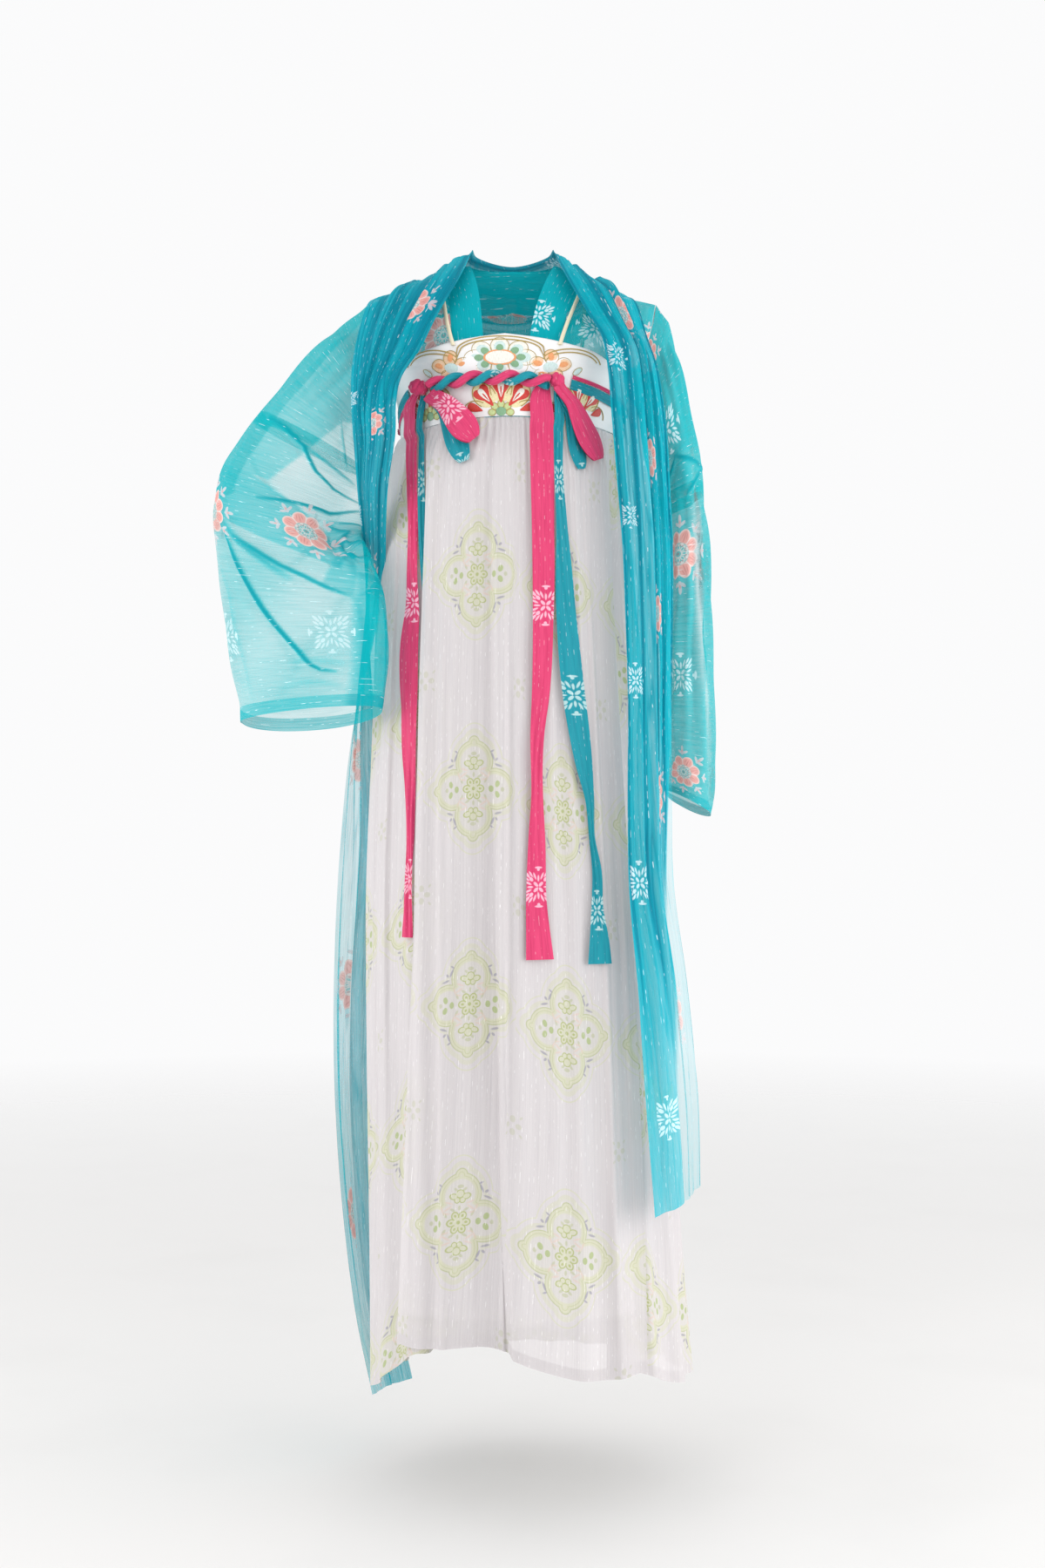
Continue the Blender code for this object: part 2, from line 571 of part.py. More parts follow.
def build_sleeve(side, way, table, seam_at):
    """Upper sleeve, lower sleeve and cuff, parted by seams."""
    gap = 0.0013  # of a step: a seam's width along the sleeve
    first = table["step"][0]
    root = armhole_ring(way, SEAM)
    upper = [root]
    for at in np.linspace(first, seam_at, 5):
        ring = sleeve_ring(table, at)
        share = ease((at - first) / 0.25 + 0.45)
        upper.append([mix(a + (ring[0] - root[0]), b, share) for a, b in zip(root, ring)])
    cloth(f"sleeve_{side}_upper", upper, TEAL, ring=True)
    lower = [sleeve_ring(table, at) for at in np.linspace(seam_at + gap, CUFF_STEP, 9)]
    cloth(f"sleeve_{side}_lower", lower, TEAL, ring=True)
    hem = [sleeve_ring(table, at) for at in (CUFF_STEP + gap, 1.0)]
    cloth(f"cuff_{side}", hem, TEAL, ring=True)


# ---- the skirt --------------------------------------------------------------------------------


def skirt_top(angle):
    """The seam under the band: lower under the arms."""
    return BAND_BOTTOM_Z - BAND_BOTTOM_DROP * math.sin(math.radians(angle)) ** 2


def fold_height(angle, z):
    """How far the skirt's folds stand out of its outline."""
    fall = min(max((skirt_top(angle) - z) / (BAND_BOTTOM_Z - HEM_Z), 0.0), 1.0)
    grown = 0.10 * ease(fall / 0.05) + 0.90 * fall**0.8
    height = 0.0
    for fold in MAIN_FOLDS:
        middle = mix(fold["top"], fold["hem"], fall**0.8)
        height += fold["height"] * math.exp(-(((angle - middle) / fold["half"]) ** 2))
    past = angle - mix(DEEP_FOLD["top"], DEEP_FOLD["hem"], fall**1.5)
    if past > 0:
        gentle = math.exp(-((past / DEEP_FOLD["gentle"]) ** 2))
        height += DEEP_FOLD["height"] * ease(past / DEEP_FOLD["steep"]) * gentle
    turn = angle % 360.0
    if BACK_FOLDS_FROM < turn < BACK_FOLDS_TO:
        share = (turn - BACK_FOLDS_FROM) / (BACK_FOLDS_TO - BACK_FOLDS_FROM)
        wave = 0.5 - 0.5 * math.cos(2 * math.pi * BACK_FOLD_COUNT * share)
        height += 0.013 * wave * (0.8 + 0.2 * math.sin(3.1 * share * math.pi + 0.7))
    return height * grown


def skirt_point(angle, z, lift=0.0, folded=1.0):
    """A point of the skirt at an angle from the middle of the front, in degrees."""
    turn = math.radians(angle)
    sine = math.sin(turn)
    cosine = math.cos(turn)
    half = smooth_read(SKIRT, "z", "left" if sine < 0 else "right", z)
    depth = smooth_read(SKIRT, "z", "front" if cosine > 0 else "back", z)
    out = np.array([sine / half, -cosine / depth])
    out = out / np.linalg.norm(out)
    reach = lift + folded * fold_height(angle, z)
    return np.array([half * sine + out[0] * reach, -depth * cosine + out[1] * reach, z])


def front_lift(z):
    """How far the front panel stands off the back panel: nothing at the seam."""
    return FRONT_LIFT * ease((BAND_BOTTOM_Z - z) / 0.07)


def angle_at(x, z, lift):
    """The angle at which the skirt's front, with that lift, is at x."""
    low, high = -88.0, 88.0
    for _ in range(26):
        middle = (low + high) / 2
        if skirt_point(middle, z, lift)[0] < x:
            low = middle
        else:
            high = middle
    return (low + high) / 2


def front_edge(side, z):
    """The angle of one side edge of the front panel."""
    return angle_at(smooth_read(FRONT_EDGES, "z", side, z), z, front_lift(z))


def build_skirt_front():
    across = SKIRT_FRONT_ACROSS
    grid = []
    for down in SKIRT_ROWS:
        level = mix(BAND_BOTTOM_Z, -1.295, down)
        left = front_edge("left", level)
        right = front_edge("right", level)
        row = []
        for i in range(across):
            angle = mix(left, right, i / (across - 1))
            z = mix(skirt_top(angle) - SEAM, smooth_read(FRONT_HEM, "angle", "z", angle), down)
            row.append(skirt_point(angle, z, front_lift(z)))
        grid.append(row)
    return cloth("skirt_front_panel", grid, WHITE)


def build_skirt_back():
    across = SKIRT_BACK_ACROSS
    grid = []
    for down in SKIRT_ROWS:
        level = mix(BAND_BOTTOM_Z, -1.295, down)
        under = PANEL_OVERLAP * ease((BAND_BOTTOM_Z - level - 0.03) / 0.16)
        start = front_edge("right", level) + 0.6 - under
        end = 360 + front_edge("left", level) - 0.6 + under
        row = []
        for i in range(across):
            angle = mix(start, end, i / (across - 1))
            z = mix(skirt_top(angle) - SEAM, smooth_read(BACK_HEM, "angle", "z", angle), down)
            row.append(skirt_point(angle if angle <= 180 else angle - 360, z))
        grid.append(row)
    return cloth("skirt_back_panel", grid, WHITE)


def build_lining():
    grid = []
    for down in (0.0, 0.04, 0.12, 0.30, 0.60, 1.0):
        row = []
        for i in range(36):
            angle = -180 + 10 * i
            z = mix(skirt_top(angle) - SEAM, LINING_HEM_Z, down)
            row.append(skirt_point(angle, z, LINING_LIFT if down else -WALL - 0.0006, 0.0))
        grid.append(row)
    return cloth("skirt_lining", grid, WHITE, ring=True)


# ---- the chest band, straps and ties ----------------------------------------------------------


def band_half(z):
    return smooth_read(FIGURE, "z", "half_width", min(z, -0.118))


def band_point(angle, z, side="front", lift=0.0):
    """A point of the band at an angle from the middle of its side."""
    turn = math.radians(angle)
    wide = (band_half(z) + BAND_LIFT + lift) * math.sin(turn)
    depth = (smooth_read(FIGURE, "z", side, z) + BAND_LIFT + lift) * math.cos(turn)
    if z > -0.130 and abs(angle) < 80:
        depth = max(depth, figure_depth(wide, z, side) + BAND_LIFT * math.cos(turn) + 0.002)
    return np.array([wide, -depth if side == "front" else depth, z])


def build_bands():
    front = []
    for j in range(5):
        row = []
        for angle in np.linspace(-89.84, 89.84, 33):
            top = smooth_read(BAND_TOP, "angle", "z", abs(angle - FRONT_TURN))
            row.append(band_point(angle, mix(skirt_top(angle), top, j / 4)))
        front.append(row)
    cloth("band_front", front, SATIN, wall=0.0020)
    back = []
    for j in range(3):
        back.append([band_point(angle, mix(skirt_top(angle), BAND_SIDE_Z, j / 2), "back")
                     for angle in np.linspace(-89.84, 89.84, 25)])
    cloth("band_back", back, SATIN, wall=0.0020)


def build_strap(name, way):
    """A thin strap from the band's top over the shoulder to the back of the band."""
    half_width = 0.0024
    lean = -COLLAR_LEAN * way
    rows = [("front", mix(0.0635, 0.0925, (z + 0.094) / 0.105) + lean * ease(-z / 0.08), z, lift)
            for z, lift in ((-0.0940, 0.0132), (-0.080, 0.0100), (-0.062, 0.0050), (-0.044, 0.0032),
                            (-0.026, 0.0034), (-0.010, 0.0044), (0.003, 0.0044), (0.009, 0.0038),
                            (0.0112, 0.0034))]
    rows += [("back", mix(0.0925, 0.085, (0.010 - z) / 0.15), z, lift)
             for z, lift in ((0.0112, 0.0034), (0.009, 0.0036), (0.003, 0.0036), (-0.010, 0.0034),
                             (-0.035, 0.0042), (-0.070, 0.0044), (-0.110, 0.0050), (-0.1402, 0.0085))]
    grid = []
    for side, x, z, lift in rows:
        row = []
        for edge in (-half_width, half_width):
            level = min(z, shoulder_z(x + edge) - 0.0005)
            place = figure_point(x + edge, level, side)
            flat = ease((shoulder_z(x) - z) / SHOULDER_ROUND)
            out = lift if side == "back" else -lift
            row.append((way * place[0], place[1] + out * flat, place[2] + lift * (1 - flat)))
        grid.append(row)
    return cloth(name, grid, CREAM)


def build_tie_wrap(wrap):
    count = 9 if wrap["side"] == "front" else 27
    grid = []
    for k in range(count):
        share = k / (count - 1)
        angle = mix(*wrap["angle"], share)
        middle = mix(*wrap["z"], share)
        grid.append([band_point(angle, middle + way * wrap["width"] / 2, wrap["side"], wrap["lift"])
                     for way in (-1.0, 1.0)])
    return cloth(wrap["name"], grid, wrap["colour"])


def band_front_point(x, z, out):
    """A point in front of the band at x, out along the band's own slope."""
    half = band_half(z) + BAND_LIFT
    depth = smooth_read(FIGURE, "z", "front", z) + BAND_LIFT
    share = max(min(x / half, 0.999), -0.999)
    slope = np.array([share / half, -math.sqrt(1 - share**2) / depth])
    slope = slope / np.linalg.norm(slope)
    return np.array([x + slope[0] * out, -depth * math.sqrt(1 - share**2) + slope[1] * out, z])


def build_twist():
    """The pink and the teal tie, rolled and twisted round each other across the chest."""
    count = 34
    for name, phase, colour in (("tie_twist_pink", 0.0, PINK), ("tie_twist_teal", math.pi, TEAL)):
        points = []
        for k in range(count):
            share = k / (count - 1)
            x = mix(TWIST_FROM_X, TWIST_TO_X, share)
            z = TIE_Z - TWIST_ARCH * (2 * share - 1) ** 2
            middle = band_front_point(x, z, TWIST_OUT)
            out = middle - band_front_point(x, z, TWIST_OUT - 0.001)
            turn = phase + 2 * math.pi * TWIST_TURNS * share
            middle = middle + out * 1000 * TWIST_OFFSET * math.cos(turn)
            middle[2] += TWIST_OFFSET * math.sin(turn)
            points.append(middle)
        rolled(name, points, TWIST_RADIUS, colour)


def chest_y(x, z):
    """How far forward the band or the front panel reaches at x."""
    if z > skirt_top(math.degrees(math.asin(max(min(x / 0.14, 1.0), -1.0)))):
        return band_front_point(x, z, 0.0)[1]
    return skirt_point(angle_at(x, z, front_lift(z)), z, front_lift(z))[1]


def build_bow_loop(loop):
    """A loop of tie: out from the knot, folded, and back under itself."""
    start_x, start_z = loop["at"]
    turn = math.radians(loop["turn"])
    steps = 7
    path = []
    for k in range(steps):
        share = k / (steps - 1)
        bulge = math.sin(math.pi * (0.15 + 0.62 * share))
        path.append((share, mix(loop["low"] + 0.0022, loop["high"], bulge)))
    path.append((1.05, (loop["low"] + loop["high"]) / 2))
    path += [(k / (steps - 1), loop["low"]) for k in reversed(range(steps))]
    grid = []
    for share, lift in path:
        width = mix(loop["neck"], loop["width"], ease(share * 1.3))
        x = start_x + loop["length"] * share * math.cos(turn)
        z = start_z - loop["length"] * share * math.sin(turn)
        row = []
        for edge in (-0.5, -0.17, 0.17, 0.5):
            place_x = x + width * edge * math.sin(turn)
            place_z = z + width * edge * math.cos(turn)
            row.append((place_x, chest_y(place_x, place_z) - lift, place_z))
        grid.append(row)
    return cloth(loop["name"], grid, loop["colour"])


def build_knots():
    for each in KNOTS:
        place = band_front_point(each["x"], each["z"], each["out"])
        knot(each["name"], place, each["size"], each["colour"])


def build_tail(name, table, panel, colour, rows, start_lift):
    """A tie's hanging tail on the front or the back panel, with a soft ripple along it."""
    top, bottom = table["z"][0], table["z"][-1]
    grid = []
    for j in range(rows):
        z = mix(top, bottom, j / (rows - 1))
        x = smooth_read(table, "z", "x", z)
        width = smooth_read(table, "z", "width", z)
        row = []
        for edge in (-0.5, 0.0, 0.5):
            place_x = x + width * edge
            ripple = 0.0012 * math.sin(9.0 * j / rows + 2.0 * edge)
            seam = skirt_top(math.degrees(math.asin(max(min(place_x / 0.14, 1.0), -1.0))))
            under = front_lift(z) if panel == "front" else 0.0
            if z > seam - 0.004:
                row.append(band_front_point(place_x, z, mix(start_lift, TAIL_LIFT, ease((top - z) / 0.03))))
            else:
                angle = angle_at(place_x, z, under + TAIL_LIFT)
                row.append(skirt_point(angle, z, under + TAIL_LIFT + abs(ripple)))
        grid.append(row)
    return cloth(name, grid, colour)


# ---- the shawl --------------------------------------------------------------------------------


def shawl_row(table, at, phase, way=1.0):
    """A row across the gathered shawl: waves between its two edges, upright on the shoulders."""
    near = edge_point(table, "near", at)
    far = edge_point(table, "far", at)
    rise = smooth_read(table, "step", "rise", at)
    step = 0.004
    ahead = (edge_point(table, "near", at + step) + edge_point(table, "far", at + step)) / 2
    behind = (edge_point(table, "near", at - step) + edge_point(table, "far", at - step)) / 2
    out = way * np.cross(ahead - behind, far - near)
    out = out / np.linalg.norm(out)
    chord = (far - near) / np.linalg.norm(far - near)
    upright = np.array([0.0, 0.0, 1.0]) - chord * chord[2]
    from_end = at if table is not SHAWL_NECK else min(at, 1 - at)
    out = mix(upright / np.linalg.norm(upright), out, ease(from_end / 0.06))
    out = out / np.linalg.norm(out)
    row = []
    for i in range(SHAWL_ACROSS):
        share = i / (SHAWL_ACROSS - 1)
        wave = math.sin(2 * math.pi * SHAWL_FOLDS * share + phase)
        bow = smooth_read(table, "step", "bow", at) * math.sin(math.pi * share)
        row.append((near + (far - near) * share, out, rise * wave + bow))
    return row


def build_shawl_drop(name, table, steps, way):
    grid = []
    for at in steps:
        waves = shawl_row(table, at, 0.9 * math.sin(3.0 * at), way)
        grid.append([place + out * height for place, out, height in waves])
    return cloth(name, grid, TEAL)


def build_shawl():
    drop_steps = [0.0, 0.025, 0.06, 0.1, 0.145, 0.19, 0.24, 0.295, 0.35, 0.4, 0.46, 0.54, 0.64, 0.76, 0.88, 1.0]
    build_shawl_drop("shawl_right_drop", RIGHT_DROP, drop_steps, -1.0)
    build_shawl_drop("shawl_left_drop", LEFT_DROP, drop_steps, 1.0)
    grid = []
    for k in range(12):
        grid.append([place + out * height for place, out, height in shawl_row(SHAWL_NECK, k / 11, 0.0)])
    return cloth("shawl_neck", grid, TEAL)


# ---- building ---------------------------------------------------------------------------------

for old in list(bpy.data.objects):
    bpy.data.objects.remove(old)
garment = bpy.data.collections.new("hanfu_robe")
bpy.context.scene.collection.children.link(garment)

build_shirt_front("shirt_front_left", 1.0)
build_shirt_front("shirt_front_right", -1.0)
build_shirt_back()
build_collar()
build_sleeve("right", -1.0, RIGHT_SLEEVE, RIGHT_SLEEVE_SEAM)
build_sleeve("left", 1.0, LEFT_SLEEVE, LEFT_SLEEVE_SEAM)
build_skirt_front()
build_skirt_back()
build_lining()
build_bands()
build_strap("strap_left", 1.0)
build_strap("strap_right", -1.0)
for tie_wrap in TIE_WRAPS:
    build_tie_wrap(tie_wrap)
build_twist()
build_knots()
for bow_loop in BOW_LOOPS:
    build_bow_loop(bow_loop)
build_tail("tail_right_pink", RIGHT_PINK_TAIL, "back", PINK, 19, 0.0041)
build_tail("tail_right_teal", RIGHT_TEAL_TAIL, "back", TEAL, 9, 0.0022)
build_tail("tail_left_pink", LEFT_PINK_TAIL, "front", PINK, 18, 0.0022)
build_tail("tail_left_teal", LEFT_TEAL_TAIL, "front", TEAL, 18, 0.0022)
build_shawl()
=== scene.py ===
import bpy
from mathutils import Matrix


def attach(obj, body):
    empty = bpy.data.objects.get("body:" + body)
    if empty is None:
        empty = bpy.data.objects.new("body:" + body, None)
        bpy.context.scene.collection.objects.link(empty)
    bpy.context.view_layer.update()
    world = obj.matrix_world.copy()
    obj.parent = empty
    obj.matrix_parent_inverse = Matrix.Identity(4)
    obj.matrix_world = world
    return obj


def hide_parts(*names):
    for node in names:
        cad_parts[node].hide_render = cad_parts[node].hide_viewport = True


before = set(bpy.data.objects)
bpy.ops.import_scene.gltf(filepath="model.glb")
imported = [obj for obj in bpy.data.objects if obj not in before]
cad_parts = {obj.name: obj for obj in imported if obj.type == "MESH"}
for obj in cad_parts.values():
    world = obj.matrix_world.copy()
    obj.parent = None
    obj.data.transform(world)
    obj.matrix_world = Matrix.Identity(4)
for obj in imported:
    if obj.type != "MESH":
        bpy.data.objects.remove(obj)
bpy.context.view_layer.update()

import math

import bpy
import numpy as np

scene = bpy.context.scene
scene.view_settings.view_transform = "Standard"
scene.cycles.transparent_max_bounces = 40
scene.cycles.max_bounces = 8
print("frame loaded:", len(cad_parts), "nodes")


def metres(**columns):
    # a table with its lengths in metres: they are given in millimetres, steps and angles as they are
    return {name: values if name in ("step", "angle") else tuple(value / 1000 for value in values)
            for name, values in columns.items()}


# The same sizes as the frame's own source: the figure, then each piece's table, a column for each measure.
figureTable = metres(
    z=(50, -20, -60, -100, -130, -160, -190, -280, -370, -480),
    halfWidth=(225, 214, 198, 168, 139, 130.5, 128.5, 120, 116, 138),
    front=(40, 66, 88, 104, 110, 112, 110, 96, 90, 96),
    back=(50, 64, 78, 88, 92, 92, 90, 84, 80, 96))
shoulderLine = metres(
    x=(0, 50, 75, 100, 130, 160, 178, 230),
    z=(40, 26, 13, 0, -12.5, -18, -22.5, -40))
armholeEdge = metres(
    z=(-20, -60, -100, -130),
    x=(178, 170, 156, 139))
collarEdge = metres(
    z=(-460, -180, -85, -20, 27),
    x=(27, 27, 28, 38.5, 52))
bandTop = metres(
    angle=(0, 19, 30, 43, 51, 60, 69, 80, 90),
    z=(-80, -87, -92.5, -100.5, -109, -117.5, -127.5, -137, -141))
skirtOutline = metres(
    z=(-180, -205, -290, -400, -540, -720, -940, -1156, -1264, -1370),
    left=(137, 145.5, 159, 165, 169, 174, 172, 168, 167, 166),
    right=(137, 137.8, 142, 149, 160, 175, 187, 197, 204, 212),
    front=(118.5, 119, 121, 123, 125, 130, 138, 150, 158, 166),
    back=(98.5, 101, 106, 111, 118, 129, 142, 155, 161, 167))
panelEdges = metres(
    z=(-184, -300, -400, -500, -600, -700, -800, -930, -1050, -1150, -1300),
    left=(-99.5, -103, -106.5, -109.8, -112, -114.5, -116, -121.5, -125.6, -130, -136.5),
    right=(114, 118, 122, 127, 132.5, 138.5, 144, 150, 155, 158, 160))
frontHem = metres(
    angle=(-50, -30, -8, -1, 6, 18, 50),
    z=(-1279, -1275, -1269, -1274, -1286, -1303, -1310))
backHem = metres(
    angle=(10, 45, 62, 90, 180, 262, 275, 297, 316, 350),
    z=(-1300, -1312, -1334, -1343, -1350, -1357, -1356, -1330, -1292, -1280))
mainFolds = (  # top angle, hem angle and half width in degrees, height at the hem in metres
    (-44, -37, 8, 0.009), (-24, -22, 7, 0.009), (24, 22, 6, 0.008), (33, 36, 5, 0.011), (44, 52, 6, 0.013),
    (57, 70, 7, 0.013), (80, 90, 7, 0.013), (-64, -61, 7, 0.012), (-82, -81, 7, 0.01))
rightSleeve = metres(
    step=(0.08, 0.2, 0.3, 0.4, 0.5, 0.58, 0.67, 0.79, 0.9, 1),
    outerX=(-196, -239, -287, -335, -362, -372, -370, -358, -346, -335),
    outerY=(4, 10, 18, 26, 30, 30, 28, 18, 8, 0),
    outerZ=(-36, -71, -122.5, -181, -224, -267, -315, -401, -476, -541),
    innerX=(-154, -166, -178, -188, -196, -198, -165, -151, -149.5, -156),
    innerY=(0, 0, -2, -6, -12, -36, -88, -105, -109, -109),
    innerZ=(-138, -166, -203, -245, -285, -318, -357, -409, -470, -525),
    halfDepth=(58, 60, 62, 60, 54, 45, 39, 36, 34, 32))
leftSleeve = metres(
    step=(0.08, 0.2, 0.3, 0.4, 0.5, 0.6, 0.7, 0.8, 0.9, 1),
    outerX=(194, 212, 229, 239, 245, 249, 252, 254, 253, 249),
    outerY=(2, 6, 12, 16, 18, 20, 20, 20, 20, 20),
    outerZ=(-44, -112, -200, -280, -350, -421, -490, -555, -610, -655),
    innerX=(152, 163, 172, 178, 181, 183, 185, 187, 189, 190),
    innerY=(0, 4, 8, 12, 16, 20, 22, 22, 22, 22),
    innerZ=(-142, -182, -236, -300, -360, -424, -488, -546, -592, -624),
    halfDepth=(60, 70, 78, 82, 84, 84, 84, 82, 80, 78))
rightDrop = metres(
    step=(0, 0.05, 0.09, 0.13, 0.17, 0.21, 0.26, 0.31, 0.35, 0.39, 0.45, 0.52, 0.61, 0.71, 0.82, 0.92, 1),
    nearX=(-49, -63, -87.7, -107.4, -129, -135.5, -137, -147, -151.4, -155, -170, -196, -214.5, -223.5, -218,
           -198, -176),
    nearY=(-0.4, -64, -103, -125, -134, -135, -130, -110, -76, -40, -26, -4, 16, 26, 30, 36, 45),
    nearZ=(47, -2, -55, -101, -136, -165, -205, -264, -306, -352, -440, -540, -690, -880, -1080, -1270, -1386),
    farX=(-160, -176, -186, -191, -191, -190, -188, -185, -183, -181, -178, -172, -162, -172, -172, -157, -131),
    farY=(-0.4, -46, -80, -100, -106, -106, -100, -72, -34, 6, 26, 52, 76, 98, 114, 126, 134),
    farZ=(-15.7, -31, -80, -124, -158, -180, -214, -268, -308, -354, -444, -544, -690, -880, -1078, -1268,
          -1390),
    rise=(4.5, 5, 5, 4.8, 4.5, 4.2, 3.8, 3.2, 3, 3, 3.4, 4, 4.5, 5, 5, 5, 5),
    bow=(1, 4, 8, 10, 10, 10, 10, 10, 8, 8, 8, 10, 10, 10, 10, 10, 10))
leftDrop = metres(
    step=(0, 0.05, 0.09, 0.13, 0.18, 0.24, 0.31, 0.38, 0.47, 0.56, 0.65, 0.73, 0.82, 0.91, 1),
    nearX=(51, 65.9, 88.5, 105.7, 113.5, 117.7, 124.7, 130, 134, 137, 136.5, 138, 149, 158.5, 168),
    nearY=(-0.4, -60, -100, -125, -135, -138, -136, -135, -137, -140, -142, -144, -148, -154, -160),
    nearZ=(47, 0, -50, -85, -130, -185, -267, -328, -420, -520, -625, -735, -860, -1000, -1121),
    farX=(135, 152, 163, 173, 180, 185, 189, 192, 192, 191, 191, 194, 212, 227, 230.5),
    farY=(-0.4, -46, -82, -102, -112, -112, -108, -106, -104, -104, -100, -90, -50, -30, -20),
    farZ=(-10.5, -29, -78, -115, -160, -206, -275, -334, -424, -522, -626, -735, -856, -992, -1109),
    rise=(4.5, 5, 5, 4.8, 4.5, 4.2, 4.2, 4.2, 4.2, 4.2, 4.2, 4.5, 5, 6, 7),
    bow=(1, 4, 8, 10, 10, 10, 10, 10, 10, 10, 10, 10, 10, 10, 10))
shawlNeck = metres(
    step=(0, 0.2, 0.5, 0.8, 1),
    nearX=(-49, -44, 0, 44, 51),
    nearY=(0.4, 40, 72, 40, 0.4),
    nearZ=(47, 47, 43, 47, 47),
    farX=(-160, -128, 0, 112, 135),
    farY=(0.4, 85, 112, 82, 0.4),
    farZ=(-15.7, -44, -68, -36, -10.5),
    rise=(4.5, 5, 5, 5, 4.5),
    bow=(1, 8, 10, 8, 1))
wall, seam = 0.0012, 0.0008
shirtHemZ, underarmZ, bandBottomZ, liningHemZ, hemZ = -0.46, -0.13, -0.18, -1.232, -1.36
neckHalfWidth, collarWidth, collarLean, shoulderRound = 0.052, 0.036, 0.006, 0.075
frontTurn, bandLift = -3.0, 0.0085
cuffStep, sleeveSeam = 0.975, 0.36


def read(table, column, at):
    # a smooth curve through a column of a table, read at one place or at many
    places = np.array(next(iter(table.values())), float)
    values = np.array(table[column], float)
    if places[0] > places[-1]:
        places, values = places[::-1], values[::-1]
    at = np.clip(np.asarray(at, float), places[0], places[-1])
    slopes = np.gradient(values, places)
    i = np.clip(np.searchsorted(places, at) - 1, 0, len(places) - 2)
    span = places[i + 1] - places[i]
    t = (at - places[i]) / span
    return ((2 * t**3 - 3 * t**2 + 1) * values[i] + (t**3 - 2 * t**2 + t) * span * slopes[i]
            + (3 * t**2 - 2 * t**3) * values[i + 1] + (t**3 - t**2) * span * slopes[i + 1])


def edgePoint(table, edge, at):
    return np.stack([read(table, edge + axis, at) for axis in "XYZ"], axis=-1)


def ease(value):
    t = np.clip(value, 0.0, 1.0)
    return t * t * (3 - 2 * t)


def bothEnds(share, width):
    # 0 at both ends of a share from 0 to 1, and 1 between them
    return ease(share / width) * ease((1 - share) / width)


def mix(a, b, share):
    return a + (b - a) * share


def bell(offset):
    return np.exp(-(offset**2))


def hump(share):
    # 0 at both ends of a share from 0 to 1, round between them
    return np.sin(math.pi * share)


def unit(vectors):
    return vectors / np.maximum(np.linalg.norm(vectors, axis=-1, keepdims=True), 1e-12)


def shares(rows, columns):
    # how far down and how far across each point of a sheet lies
    return np.meshgrid(np.linspace(0, 1, rows), np.linspace(0, 1, columns), indexing="ij")


def ripple(u, v, seed, pitch, count=7, along=0.0):
    # smooth uneven waves between -1 and 1; along = 1 draws them out down the cloth
    order = np.random.default_rng(seed)
    total = 0.0
    for _ in range(count):
        turn = order.uniform(0, 2 * math.pi) * (1 - along)
        length = pitch * order.uniform(0.7, 1.6)
        phase = order.uniform(0, 2 * math.pi)
        total = total + np.sin(2 * math.pi * (u * math.cos(turn) + v * math.sin(turn)) / length + phase
                               + 0.9 * along * np.sin(v / pitch * order.uniform(0.1, 0.3) + phase * 2))
    return total / math.sqrt(count)


def normalsOf(grid, closed=False):
    across = np.roll(grid, -1, axis=1) - np.roll(grid, 1, axis=1) if closed else np.gradient(grid, axis=1)
    return unit(np.cross(across, np.gradient(grid, axis=0)))


def outwards(grid, arms, closed=False):
    # the sheet's normals on the side that its arms point to
    out = normalsOf(grid, closed)
    return out * np.sign((out * arms).sum(axis=-1).mean())


def creaseField(u, v, creases):
    # soft folds along curved paths: how high the cloth stands, and how much denser and darker it is there, partly as
    # cloth lying double and partly as painted shade in the crease
    height, doubledAndShade = np.zeros_like(u), np.zeros_like(u)
    for width, high, dense, *path in creases:
        corners, width = np.array(path) / 1000, width / 1000
        t = np.linspace(0, 1, 16)[:, None]
        if len(corners) == 3:
            line = (1 - t) ** 2 * corners[0] + 2 * t * (1 - t) * corners[1] + t**2 * corners[2]
        else:
            spread = np.linspace(0, 1, len(corners))
            line = np.stack([np.interp(t[:, 0], spread, corners[:, axis]) for axis in range(2)], axis=-1)
        best = np.full(u.shape, 1e9)
        along, side = np.zeros_like(u), np.ones_like(u)
        for k in range(len(line) - 1):
            step = line[k + 1] - line[k]
            s = np.clip(((u - line[k][0]) * step[0] + (v - line[k][1]) * step[1]) / (step @ step), 0, 1)
            du, dv = u - line[k][0] - s * step[0], v - line[k][1] - s * step[1]
            away = np.hypot(du, dv)
            nearer = away < best
            best = np.where(nearer, away, best)
            along = np.where(nearer, (k + s) / (len(line) - 1), along)
            side = np.where(nearer, np.sign(step[0] * dv - step[1] * du), side)
        taper = hump(np.clip(mix(0.04, 1.0, along), 0, 1)) ** 0.7
        x = best * side / width
        height += high / 1000 * taper * (bell(x) - 0.45 * bell(np.abs(x) - 2.1))
        doubledAndShade += dense * taper * bell(best / (0.55 * width))
    return height, doubledAndShade


def patchField(u, v, patches):
    # flat patches with crisp edges, where more or less cloth lies over itself
    found = np.zeros_like(u)
    for dense, soft, *corners in patches:
        corners = np.array(corners) / 1000
        following = np.roll(corners, -1, axis=0)
        way = np.sign(np.sum(corners[:, 0] * following[:, 1] - following[:, 0] * corners[:, 1]))
        edge = np.full(u.shape, 1.0)
        for (a, b), (da, db) in zip(corners, following - corners):
            edge = np.minimum(edge, way * (da * (v - b) - db * (u - a)) / math.hypot(da, db))
        found += dense * ease(edge / (soft / 1000) + 0.5)
    return found


